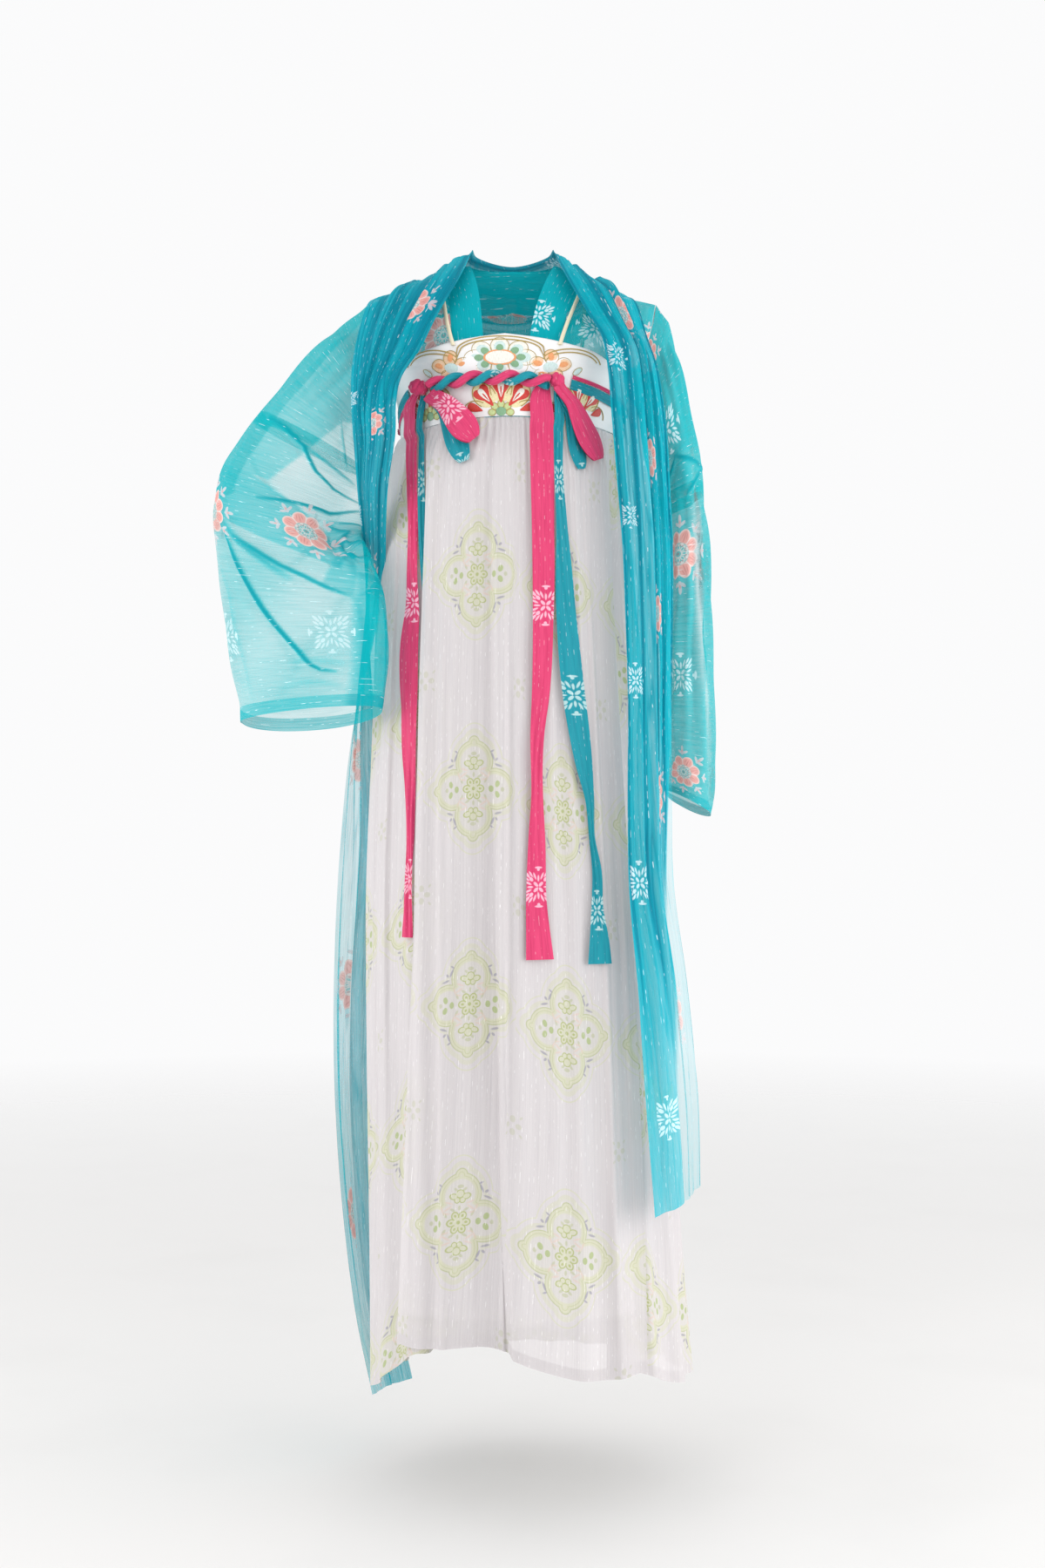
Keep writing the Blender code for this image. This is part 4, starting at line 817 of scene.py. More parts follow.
cell, half = shirtLook["cell"], shirtLook["half"]
shirtCloths = {side: tealChiffon("teal_chiffon_shirt_" + side, at, cell, half, blue=shirtLook["blue"])
               for side, at in shirtLook["places"].items()}
down = bodyRows(40, 80)
for side, way, seed in (("left", 1.0, 11), ("right", -1.0, 12)):
    inner = collarInnerX(down, way) + collarWidth + seam
    grid = bodyPoint(inner, np.linspace(0, 1, 70)[None, :], down, "front") * (way, 1, 1)
    shirtPiece("shirt_front_" + side, grid, shirtCloths[side], seed, shirtLook["fold"])
across = np.linspace(0, 1, 80)[None, :]
half = bodyPoint(0.0 * down, across, down, "back")
x = half[..., 0]
lowered = mix(shoulderZ(x) - neckDrop(x) - np.where(x < 0.088, 0.0026, 0.0), shirtHemZ, down)
half = np.where((across < 1)[..., None], figurePoint(x, lowered, "back"), half)
grid = np.concatenate([half[:, :0:-1] * (-1, 1, 1), half], axis=1)
shirtPiece("shirt_back", grid, shirtCloths["left"], 13, -shirtLook["fold"])


# the collar: one doubled strip from hem to hem round the neck
def collarFront(way, columns):
    down = bodyRows(36, 60)[::-1]
    x = collarInnerX(down, way) + collarWidth * np.linspace(0, 1, columns)[None, :]
    return figurePoint(x, rowZ(x, down), "front") * (way, 1, 1)


def collarBack(columns, rows=61):
    turn = np.radians(np.linspace(88, -88, rows))[:, None]
    share = np.linspace(0, 1, columns)[None, :]
    x = (neckHalfWidth + collarWidth * share) * np.sin(turn)
    outer = figurePoint(x, shoulderZ(x) - neckDrop(x) * share, "back")
    stand = np.stack([x, 0.05 * np.cos(turn) + 0 * x, 0.0265 + 0.004 * np.cos(turn) + 0 * x], axis=-1)
    return mix(stand, outer, (share**1.3)[..., None])


collarLook = {"columns": 13, "puff": 0.0011,
              "sides": (("shirt_collar_cloth", 1.0, 5.0), ("shirt_collar_inside", -0.4, 3.0))}
collarCloth = tealChiffon("teal_chiffon_collar", (0.0047, 0.21), (0.145, 0.75), (0, 0.1991), blue=0.95)
columns = collarLook["columns"]
collar = np.concatenate([collarFront(1.0, columns), collarBack(columns), collarFront(-1.0, columns)[::-1]])
puff = collarLook["puff"] * hump(np.linspace(0, 1, columns))[None, :] ** 0.5
out = normalsOf(collar)
out = out * np.where((out * (collar - (0, 0, -0.1))).sum(axis=-1) < 0, -1, 1)[..., None]
for name, way, count in collarLook["sides"]:
    side = collar + out * (puff * way)[..., None]
    piece = makeSheet(name, side, collarCloth, "teal_chiffon", ["shirt_collar"] if way > 0 else [], layers=count)
print("shirt: fronts, back and collar")


# sleeves: wide tubes with folds that run from the elbow, a seam half way and a hemmed mouth
def armholeRing(way, turn):
    z = mix(underarmZ, shoulderZ(0.178), (np.cos(turn) + 1) / 2)
    x = read(armholeEdge, "x", z)
    deep = np.where(np.sin(turn) > 0, figureDepth(x, z, "front"), figureDepth(x, z, "back"))
    return np.stack([way * (x + seam), -np.copysign(deep, np.sin(turn)), z], axis=-1)


def ovalRing(table, at, turn):
    outer, inner = edgePoint(table, "outer", at), edgePoint(table, "inner", at)
    axis = unit(outer - inner)
    ahead = unit(np.array([0.0, -1.0, 0.0]) + axis * axis[..., 1:2]) * read(table, "halfDepth", at)[..., None]
    return (outer + inner) / 2 + (outer - inner) / 2 * np.cos(turn)[..., None] + ahead * np.sin(turn)[..., None]


def sleeveGrid(table, way, start, end, rows, columns):
    first = table["step"][0]
    at = np.linspace(start, end, rows)[:, None] + np.zeros(columns)
    turn = np.zeros((rows, 1)) + 2 * math.pi * np.arange(columns) / columns
    root = armholeRing(way, turn)
    base = ovalRing(table, np.maximum(at, first), turn)
    shift = base[:, :1] - root[:, :1]
    share = ease((np.maximum(at, first) - first) / 0.25 + 0.45)[..., None]
    grid = mix(root, mix(root + shift, base, share), np.clip(at / first, 0, 1)[..., None])
    return grid, at, turn / (2 * math.pi)


# patches: layers of cloth more or less, width of the edge, corners round and down the sleeve
# creases: width, height, layers that lie double in it (partly painted shade), path round and down the sleeve, all in
# millimetres
sleeveLook = {
    "right": {
        "table": rightSleeve, "way": -1.0, "around": 0.4, "long": 0.62, "seed": 21, "sag": 0.017,
        "print": (0.312, 0.146), "repeat": 0.5,
        "layers": {"at": (0, 0.15, 0.26, 0.38, 0.6, 0.8, 1), "count": (1.8, 1.6, 1, 0.8, 1.1, 1.05, 1)},
        "patches": (
            (1.9, 4, (-30, -50), (230, -50), (230, 115), (139, 176), (-30, 176)),
            (1.9, 4, (-30, 176), (139, 176), (114, 248), (95, 306), (-30, 297)),
            (2.3, 4, (-30, 297), (95, 306), (126, 330), (170, 352), (149, 432), (46, 375), (-30, 335)),
            (2, 4, (170, 352), (168, 414), (156, 470), (136, 463), (98, 436), (149, 408)),
            (2.2, 12, (160, 340), (215, 335), (215, 450), (160, 440)),
            (-0.35, 3, (96, 309), (114, 251), (193, 266), (200, 300), (126, 330)),
            (2.6, 12, (156, 474), (152, 535), (149, 640), (215, 640), (215, 440), (168, 430)),
        ),
        "creases": (
            (3.2, 3.6, 14, (44, 380), (57, 426), (67, 452), (85, 496), (105, 539), (120, 569), (138, 573)),
            (8, 4, 5, (45, 374), (66, 408), (86, 429), (109, 455)),
            (4.2, 4, 9, (66, 404), (84, 420), (102, 436), (118, 447), (136, 462), (158, 474)),
            (3.2, 3.4, 11, (58, 222), (84, 224), (113, 235), (133, 263), (156, 279), (199, 288)),
            (4, 3, 4, (113, 235), (141, 242), (185, 257)),
            (3.6, 3.8, 12, (90, 336), (126, 326), (145, 323), (161, 322), (200, 299)),
            (2.6, 2, 2.6, (135, 179), (148, 202), (168, 242)),
            (5, 5.6, 7, (160, 338), (185, 354), (166, 388), (172, 412)),
            (4.2, 4.6, 5, (162, 334), (208, 334)),
            (4.6, 5, 5, (172, 362), (190, 384), (204, 380)),
            (3.6, 4, 4, (150, 424), (164, 400), (196, 402), (200, 440)),
            (11, 5, -1.2, (176, 430), (184, 500), (176, 560)),
            (4, 4.4, 4, (164, 470), (190, 450), (206, 470)),
            (4, 4, 3, (196, 480), (190, 540), (198, 600)),
            (18, 15, 0.8, (196, 270), (208, 345), (202, 410)),
            (6, 3.4, 1.6, (160, 480), (166, 540), (158, 600)),
            (6, 3, 0.7, (34, 440), (46, 470), (50, 512), (55, 565), (62, 606)),
            (8, 2.6, 1.1, (100, 556), (129, 556), (150, 566)),
            (7, 2.2, 0.9, (92, 590), (120, 580), (150, 598)),
            (10, 3, 0.5, (50, 230), (52, 300), (46, 360)),
            (9, 3.4, 0.8, (66, 60), (70, 140), (52, 220)),
            (7, -2.6, 0.6, (102, 50), (112, 120), (90, 210)),
            (8, 3.4, 0.9, (140, 70), (150, 150), (165, 215)),
            (6, 3.4, 0.8, (392, 340), (362, 460), (318, 560)),
            (7, 3.6, 0.8, (380, 250), (340, 310), (282, 330)),
            (6, 3.8, 0.8, (250, 300), (280, 390), (335, 440)),
            (8, 3.2, 0.5, (258, 430), (300, 500), (350, 600)),
            (8, 3.4, 0.8, (345, 40), (350, 130), (368, 210)),
            (7, -2.8, 0.6, (290, 60), (300, 140), (282, 220)),
        )},
    "left": {
        "table": leftSleeve, "way": 1.0, "around": 0.42, "long": 0.62, "seed": 31, "sag": 0.006,
        "print": (0.271, 0.119), "repeat": 0.254,
        "layers": {"at": (0, 0.15, 0.3, 0.36, 0.55, 0.75, 1), "count": (3, 3, 3, 2.6, 2.5, 2.4, 2.4)},
        "patches": (
            (1.2, 3, (156, 212), (122, 187), (50, 204), (86, 230)),
            (1, 6, (-30, -50), (230, -50), (230, 190), (122, 187), (-30, 210)),
            (0.7, 10, (100, 195), (230, 200), (230, 640), (120, 640)),
        ),
        "creases": (
            (3.4, 2.6, 12, (156, 212), (120, 186)),
            (3.2, 2.6, 13, (120, 186), (98, 193), (50, 203), (24, 206)),
            (3, 2.4, 12, (24, 206), (64, 215), (85, 221), (105, 228)),
            (7.5, 3.4, 0.8, (130, 215), (132, 390), (154, 590)),
            (10, -3.4, 0.4, (98, 235), (90, 400), (112, 560)),
            (8, 3.2, 0.5, (70, 250), (80, 420), (76, 600)),
            # the next two strips have no height and fewer layers: a painted highlight, lighter streaks down the outer
            # side of the sleeve as if light fell on an arm inside it
            (17, 0, -2.1, (50, 60), (56, 130), (70, 200), (84, 278), (81, 355), (72, 413), (54, 493),
             (46, 600)),
            (18, 0, -2, (384, 180), (374, 267), (370, 345), (366, 406), (380, 490), (384, 600)),
            (6, 3.4, 1, (165, 250), (172, 420), (180, 600)),
            (8, 3.2, 0.9, (150, 20), (142, 90), (128, 182)),
            (7, -2.8, 0.5, (104, 30), (96, 100), (104, 180)),
            (6, 2.4, 0.5, (62, 50), (66, 120), (58, 190)),
            (8, 3, 0.8, (345, 40), (338, 120), (350, 185)),
            (8, 3.2, 0.7, (300, 210), (306, 380), (290, 590)),
            (10, -3, 0.4, (350, 220), (344, 400), (352, 600)),
            (6, 3.4, 0.9, (255, 230), (250, 420), (238, 600)),
        )},
}


def sleevePiece(look, start, end, rows, columns, inset=0.0):
    plain, at, turn = sleeveGrid(look["table"], look["way"], start, end, rows, columns)
    u, v = turn * look["around"], at * look["long"]
    height, doubledAndShade = np.zeros_like(u), np.zeros_like(u)
    for shift in (-look["around"], 0.0, look["around"]):
        more, dense = creaseField(u + shift, v, look["creases"])
        height, doubledAndShade = height + more, doubledAndShade + dense + patchField(u + shift, v, look["patches"])
    sine = np.sin(2 * math.pi * turn)
    cosine = np.cos(2 * math.pi * turn) * look["around"] / 6.3
    uneven = 0.0016 * ripple(cosine, v * 0.6 + sine * 0.05, look["seed"], 0.055)
    height = height + uneven * ease(at / 0.12) * ease((1.02 - at) / 0.05)
    layers = read(look["layers"], "count", at) + doubledAndShade + 0.25 * ripple(u, v, look["seed"] + 1, 0.11)
    out = outwards(plain, plain - plain.mean(axis=1, keepdims=True), closed=True)
    grid = plain + out * (height - inset)[..., None]
    # the rim hangs lower behind than in front
    drop = look["sag"] * sine * ease((at - 0.8) / 0.2)
    grid[..., 2] += np.where(drop > 0, 0.45, 1.0) * drop
    return grid, plain, v, np.maximum(layers, 0.35)


sleeveParts = (  # name, start and end along the sleeve, rows, further layers, how far inside, shift of its print
    ("upper", 0.0, sleeveSeam, 110, 0, 0, 0), ("lower", sleeveSeam, cuffStep, 210, 0, 0, 0),
    ("cuff", cuffStep, 1.0, 9, 2.4, 0, 0), ("seam", sleeveSeam - 0.01, sleeveSeam + 0.01, 4, 0.8, 0.0006, 0.07))
for side, look in sleeveLook.items():
    cloth = tealChiffon("teal_chiffon_sleeve_" + side, look["print"], (look["repeat"], look["around"] / 3),
                        (0.127, 0.0), 0.8, 0.915, 0.5)
    made, sizes = {}, {}
    whole = sleeveGrid(look["table"], look["way"], 0.0, 1.0, 60, 80)[0]
    longer = lengthsAlong(whole, 0)[-1].mean() / look["long"]
    for part, start, end, rows, more, inset, shift in sleeveParts:
        grid, plain, v, layers = sleevePiece(look, start, end, rows, 206, inset)
        node = "cuff_" + side if part == "cuff" else "sleeve_" + side + "_" + part
        ends = lengthsAlong(ringed(plain), 1)
        made[part] = makeSheet(node + "_cloth", grid, cloth, "teal_chiffon", [] if part == "seam" else [node],
                               ringed(v) * longer + shift, ends / ends[:, -1:] * look["around"], layers + more, True)
        sizes[part] = clothSize(grid, True)
    "shirt_front_" + side + "_cloth"
print("sleeves: upper, lower, seams and cuffs")


# the shawl: one long cloth, drawn together round the neck and falling at both sides
# creases: width, height, layers that lie double in it (partly painted shade), path across and along the shawl, all in
# millimetres
shawlLook = {
    "width": 0.15, "columns": 130, "strands": 4.3, "pleat": 0.0075, "fine": 0.0009, "layers": 5.0,
    "creases": (
        (5, 4, 2, (52, -20), (40, -300), (50, -620)),
        (4.2, 3.6, 1.5, (94, -50), (88, -260), (108, -500)),
        (3.8, 3.2, 1.5, (20, -160), (28, -400), (18, -740)),
        (5, 3.6, 1, (120, -300), (112, -600), (126, -950)),
        (6, 4, 1.6, (66, -600), (74, -950), (58, -1300)),
        (7, 3.8, 1.6, (30, -900), (22, -1200), (36, -1620)),
        (6, -3.4, 0.8, (98, -1000), (104, -1300), (90, -1660)),
        (4.8, 4.2, 2, (48, 20), (60, 300), (44, 660)),
        (6, 4, 1.6, (96, 40), (108, 280), (98, 600)),
        (4, 3.2, 1.2, (24, 180), (14, 450), (26, 800)),
        (4.2, 3.4, 1.4, (122, 220), (128, 520), (114, 860)),
        (6, 3.8, 1.6, (74, 500), (66, 820), (80, 1160)),
        (6.5, 3.6, 1.4, (30, 800), (42, 1050), (30, 1360)),
        (6, -3, 0.6, (106, 800), (98, 1100), (112, 1380)),
    )}


def shawlBase(table, at, across, way, ends):
    near, far = edgePoint(table, "near", at), edgePoint(table, "far", at)
    step = 0.004
    ahead, behind = (edgePoint(table, "near", place) + edgePoint(table, "far", place)
                     for place in (at + step, at - step))
    out = unit(way * np.cross(ahead - behind, far - near))
    chord = unit(far - near)
    upright = unit(np.array([0.0, 0.0, 1.0]) - chord * chord[..., 2:3])
    fromEnd = at if ends == 1 else np.minimum(at, 1 - at)
    out = unit(mix(upright, out, ease(fromEnd / 0.06)[..., None]))
    bow = read(table, "bow", at) * hump(across)
    return near + (far - near) * across[..., None] + out * bow[..., None], out, np.linalg.norm(far - near, axis=-1)


def shawlPleats(across, run):
    # rounded strands of uneven width that swell, thin out and wander along the shawl
    uneven = across + 0.055 * np.sin(2 * math.pi * 1.3 * across + 0.8) + 0.03 * np.sin(2 * math.pi * 2.7 * across + 2.2)
    wander = 0.26 * np.sin(2.4 * run + 0.4) + 0.12 * np.sin(5.7 * run + 2.0 + 3 * across)
    phase = shawlLook["strands"] * uneven + wander + 0.4
    index = np.floor(phase)
    swell = 0.45 + 0.4 * np.sin(3.1 * run + 2.4 * index + 0.5) + 0.15 * np.sin(7.7 * run + 5.0 * index)
    high = hump(phase - index) ** 0.9 * np.clip(swell, 0.12, 1.0)
    threads = 1 - np.abs(ripple(across * shawlLook["width"] + 0.006 * np.sin(9 * run), run * 0.05, 51, 0.016, 5))
    return high, np.clip(threads, 0, 1) ** 4, phase - index, index


def shawlPart(table, start, end, rows, runStart, runEnd, way, ends):
    look = shawlLook
    at = np.linspace(start, end, rows)[:, None] + np.zeros(look["columns"])
    across = np.zeros((rows, 1)) + np.linspace(0, 1, look["columns"])
    grid, out, room = shawlBase(table, at, across, way, ends)
    run = runStart + (at - start) / (end - start) * (runEnd - runStart)
    high, threads, inside, index = shawlPleats(across, run)
    height, doubledAndShade = creaseField(across * look["width"], run, look["creases"])
    height = (high - 0.4) * look["pleat"] * np.clip(room / 0.12, 0.25, 1.0) + height - threads * look["fine"]
    grid = grid + out * (height * mix(0.35, 1.0, bothEnds(across, 0.03)))[..., None]
    # each strand shows its own part of the width, the rest lies folded under it
    u = index * 0.085 + inside * 0.034 - 0.134 * ease((run + 0.13) / 0.26)
    # low down the cloth opens out: only the strand beside the skirt stays gathered
    openRight = ease((-0.8 - run) / 0.16) * ease((mix(0.6, 0.52, ease((-1.0 - run) / 0.3)) - across) / 0.06)
    openLeft = ease((run - 0.8) / 0.14) * ease((across - mix(0.86, 0.42, ease((run - 0.85) / 0.5))) / 0.08)
    layers = look["layers"] + doubledAndShade + 9.0 * (1 - hump(inside)) ** 3 + threads * 3.5
    # more layers on the right drop below the neck: partly cloth gathered thicker, partly painted shade where it hangs
    # in shade
    layers = layers + 3.2 * ease((-run - 0.14) / 0.1) * ease((run + 0.8) / 0.12)
    layers = mix(layers, 3.4 + 0.4 * doubledAndShade + threads, ease((-0.8 - run) / 0.16))
    layers = mix(layers, mix(1.2, 2.2, ease((-1.15 - run) / 0.35)) + 0.3 * doubledAndShade + 0.5 * threads, openRight)
    layers = mix(layers, 3.2 + 0.4 * doubledAndShade + threads, ease((run - 1.05) / 0.25))
    rolled = 1.6 * bell((across - 0.985) / 0.02)
    return grid, u, run, np.maximum(mix(layers, 0.6 + 0.2 * doubledAndShade + 0.4 * threads + rolled, openLeft), 0.5)


parts = [shawlPart(rightDrop, 1.0, 0.0, 260, -1.68, -0.13, -1.0, 1),
         shawlPart(shawlNeck, 0.0, 1.0, 60, -0.13, 0.13, 1.0, 2),
         shawlPart(leftDrop, 0.0, 1.0, 220, 0.13, 1.4, 1.0, 1)]
parts[1] = tuple(each[1:-1] for each in parts[1])
grid, u, run, layers = (np.concatenate([part[k] for part in parts]) for k in range(4))
shawlCloth = tealChiffon("teal_chiffon_shawl", (0.122, -1.2227), (0.4, 0.2425), (0.242, 0.0943), 0.7)
piece = makeSheet("shawl_cloth", grid, shawlCloth, "teal_shawl", ["shawl_right_drop", "shawl_neck", "shawl_left_drop"],
                  u, run, layers)
print("shawl")


# the chest band: white satin with embroidered flowers under a scalloped line
def bandHalf(z):
    return read(figureTable, "halfWidth", np.minimum(z, -0.118))


def bandPoint(angle, z, side="front", lift=0.0):
    turn = np.radians(angle)
    wide = (bandHalf(z) + bandLift + lift) * np.sin(turn)
    depth = (read(figureTable, side, z) + bandLift + lift) * np.cos(turn)
    over = figureDepth(wide, z, side) + bandLift * np.cos(turn) + 0.002
    depth = np.where((z > -0.13) & (np.abs(angle) < 80), np.maximum(depth, over + lift), depth)
    return figurePoint(wide, z, side, depth)


bandLook = {"white": (0.87, 0.86, 0.86), "shade": (0.8, 0.79, 0.8), "columns": {"front": 241, "back": 161}}
satin = plainCloth("band_satin", bandLook["white"], bandLook["shade"], 1500.0, 260.0, 0.42, 0.15, 0.2, 0.5)
for side, columns in bandLook["columns"].items():
    down, across = shares(40, columns)
    angle = mix(-89.84, 89.84, across)
    top = read(bandTop, "z", np.abs(angle - frontTurn)) if side == "front" else -0.141
    grid = bandPoint(angle, mix(skirtTop(angle), top, down), side, 0.0004)
    crush = 0.0009 * ripple(across * 0.4, down * 0.1, 41, 0.045) * hump(down)
    out = outwards(grid, grid * (1, 1, 0))
    shell = np.concatenate([grid + out * (crush + 0.0006)[..., None], (grid - out * 0.0012)[::-1]])
    piece = makeSheet("band_" + side + "_satin", shell, satin, "embroidered_satin", ["band_" + side])

threadColours = {"gold": (0.44, 0.31, 0.07), "green": (0.22, 0.42, 0.24), "leaf": (0.56, 0.66, 0.3),
                 "orange": (0.86, 0.36, 0.14), "peach": (0.9, 0.62, 0.4), "red": (0.66, 0.04, 0.028),
                 "ivory": (0.9, 0.88, 0.8), "mist": (0.62, 0.78, 0.76), "straw": (0.84, 0.76, 0.44)}
threads = {}
for name, rgb in threadColours.items():
    made, wire, place = startCloth("thread_" + name)
    stitch = crinkle(place, 1900.0, 240.0)
    tone = wire.colour(rgb).blended(tuple(0.62 * part for part in rgb), stitch.clamped(2.6, -1.05) * 0.6)
    sockets = {"Base Color": tone, "Roughness": 0.38 + stitch * 0.2, "Sheen Weight": 0.3}
    threads[name] = finishMaterial(made, wire, sockets, stitch, 0.0004, 0.6)


def onBand(s, z, lift):
    # a place on the front band, s metres round from its middle
    return bandPoint(frontTurn + np.degrees(s / 0.139), z, "front", 0.0012 + lift)


def turned(s, z, along, off, turn):
    # the places that lie along and off a line from s and z at a turn in degrees
    turn = math.radians(turn)
    return s + along * math.cos(turn) - off * math.sin(turn), z + along * math.sin(turn) + off * math.cos(turn)


def petalPatch(s, z, long, wide, turn, shape):
    # the points of one embroidered patch: a domed fan round its middle
    angle = np.linspace(0, 2 * math.pi, 29)[:-1]
    rings = np.array([1.0, 0.72, 0.38])[:, None]
    width = np.sin(angle) * (0.62 + 0.38 * np.cos(angle) if shape == "petal" else 1.0)
    along, off = rings * long * np.cos(angle), rings * wide * width
    ss, zz = turned(s, z, along, off, turn)
    lift = np.array([0, 0.00045, 0.00062])[:, None] + 0 * ss
    points = np.concatenate([onBand(ss, zz, lift).reshape(-1, 3), onBand(np.array([s]), np.array([z]), 0.00068)])
    count = len(angle)
    faces = [(r * count + k, r * count + (k + 1) % count, (r + 1) * count + (k + 1) % count, (r + 1) * count + k)
             for r in range(2) for k in range(count)]
    faces += [(2 * count + k, 2 * count + (k + 1) % count, 3 * count) for k in range(count)]
    return points, faces, np.concatenate([np.stack([along, off], axis=-1).reshape(-1, 2), [[0.0, 0.0]]])


def patches(name, colour, each, raised=0.0):
    points, faces, places = [], [], []
    for patch in each:
        more, corners, flat = petalPatch(*patch)
        first = sum(len(earlier) for earlier in points)
        faces += [tuple(i + first for i in face) for face in corners]
        points.append(more + np.array([0, -raised, 0]))
        places.append(flat)
    made = makeMesh(name, np.concatenate(points).tolist(), faces, np.concatenate(places), threads[colour])
    rides(made, "embroidered_satin")


def cordLine(name, colour, paths, radius):
    curve = bpy.data.curves.new(name, "CURVE")
    curve.dimensions = "3D"
    curve.bevel_depth = radius
    curve.bevel_resolution = 1
    for path in paths:
        s, z = np.array(path).T
        places = onBand(s, z, 0.0003)
        spline = curve.splines.new("POLY")
        spline.points.add(len(places) - 1)
        for point, place in zip(spline.points, places):
            point.co = (*place, 1.0)
    curve.materials.append(threads[colour])
    made = bpy.data.objects.new(name, curve)
    scene.collection.objects.link(made)
    rides(made, "embroidered_satin")


def ovalPath(s, z, long, wide, turn=0.0, first=0.0, last=360.0):
    angle = np.radians(np.linspace(first, last, 26))
    return list(zip(*turned(s, z, long * np.cos(angle), wide * np.sin(angle), turn)))


def lobes(s, z, count, reach, lobe, start, squash, last=360.0):
    # petals round a flower's middle, squashed to a wide oval
    found = []
    for turn in (start + 360.0 * k / count for k in range(count)):
        if turn % 360.0 <= last:
            way = math.radians(turn)
            found.append((s + reach * math.cos(way), z + squash * reach * math.sin(way), *lobe, turn, "oval"))
    return found


def rimmed(name, colour, each):
    # embroidered lobes with a thin gold edge
    patches(name, colour, each)
    cordLine(name + "_edge", "gold", [ovalPath(*lobe[:5]) for lobe in each], 0.00038)


bandFlowers = {"centreS": -0.005, "middleZ": -0.1105, "sideZ": -0.1215, "sideS": 0.054, "fanZ": -0.179,
               "fanTurns": (8, 49, 90, 131, 172)}
centre, middle, sideFlower = bandFlowers["centreS"], bandFlowers["middleZ"], bandFlowers["sideZ"]
fan, fanTurns = bandFlowers["fanZ"], bandFlowers["fanTurns"]
scallops = ((0, -0.101, 0.047, 0.0175), (-0.079, -0.116, 0.035, 0.018), (0.079, -0.116, 0.035, 0.018))
outlines = []
for grow in (0.0, -0.0042):
    line = []
    for s in np.linspace(-0.125, 0.125, 200):
        high = [z + (rise + grow) * math.sqrt(max(1 - ((s - at) / (half + grow)) ** 2, 0))
                for at, z, half, rise in scallops if abs(s - at) < half + grow]
        if high:
            line.append((s + centre, max(high)))
    outlines.append([point for point in line if point[1] > -0.129])
cordLine("band_gold_scallops", "gold", outlines, 0.00075)
rimmed("band_flower_petals", "ivory", lobes(centre, middle, 8, 0.027, (0.0112, 0.0098), 0.0, 0.52))
patches("band_flower_mist", "mist", lobes(centre, middle, 8, 0.0255, (0.0078, 0.0066), 0.0, 0.52), 0.0004)
patches("band_flower_green", "green", lobes(centre, middle, 8, 0.0225, (0.0054, 0.0042), 0.0, 0.52), 0.0008)
patches("band_flower_rim", "orange", [(centre, middle, 0.0172, 0.0098, 0, "oval")], 0.0011)
patches("band_flower_heart", "ivory", [(centre, middle, 0.015, 0.008, 0, "oval")], 0.0015)
for side, way in (("left", 1.0), ("right", -1.0)):
    s = centre + way * bandFlowers["sideS"]
    rimmed("band_side_petals_" + side, "peach", lobes(s, sideFlower, 5, 0.0148, (0.0088, 0.0082), 90.0, 0.86))
    patches("band_side_orange_" + side, "orange", lobes(s, sideFlower, 5, 0.015, (0.005, 0.0034), 90.0, 0.86), 0.0006)
    patches("band_side_heart_" + side, "mist", [(s, sideFlower, 0.0082, 0.0064, 0, "oval")], 0.0007)
    rimmed("band_bud_" + side, "mist", [(centre + way * 0.087, -0.1245, 0.0055, 0.004, 90 - way * 40, "oval")])


def fanPetal(s, size, turn, reach, long, wide, shape="petal", off=0.0, lean=0):
    # a petal of a fan: reach out from its foot at a turn, and off to one side
    return (*turned(s, fan, size * reach, size * off, turn), long * size, wide * size, turn + lean, shape)


for name, s, size in (("middle", centre, 1.12), ("left", centre + 0.096, 1.05), ("right", centre - 0.096, 1.05)):
    reds, golds = [], []
    for turn in fanTurns:
        reds += [fanPetal(s, size, turn, 0.029, 0.009, 0.0064, "petal", 0.0036 * way, 12 * way) for way in (-1, 1)]
        reds.append(fanPetal(s, size, turn, 0.024, 0.0125, 0.007))
        path = ovalPath(*fanPetal(s, size, turn, 0.0275, 0.014, 0.0114)[:5], -120, 120)
        golds.append([point for point in path if point[1] > fan])
    yellows = [fanPetal(s, size, turn, 0.027, 0.014, 0.0112, "oval") for turn in fanTurns]
    whites = [fanPetal(s, size, turn, 0.0272, 0.0088, 0.0048) for turn in fanTurns]
    cores = [fanPetal(s, size, turn, 0.025, 0.0056, 0.0012) for turn in fanTurns]
    for part, colour, low, raised, each in (
            ("yellow", "straw", 0.014, 0.0, yellows), ("red", "red", 0.0075, 0.0005, reds),
            ("ivory", "ivory", 0.0075, 0.0011, whites), ("core", "red", 0.0075, 0.0016, cores)):
        patches("band_fan_" + part + "_" + name, colour, [petal for petal in each if petal[1] > fan + low], raised)
    cordLine("band_fan_gold_" + name, "gold", [path for path in golds if len(path) > 3], 0.0006)
    rimmed("band_fan_leaf_" + name, "leaf", lobes(s, fan + 0.003, 8, 0.0108, (0.0046, 0.004), 0.0, 0.9, 180.0))
    patches("band_fan_green_" + name, "green", [(s, fan + 0.004, 0.0062, 0.0052, 0, "oval")], 0.0006)
print("band and embroidery")


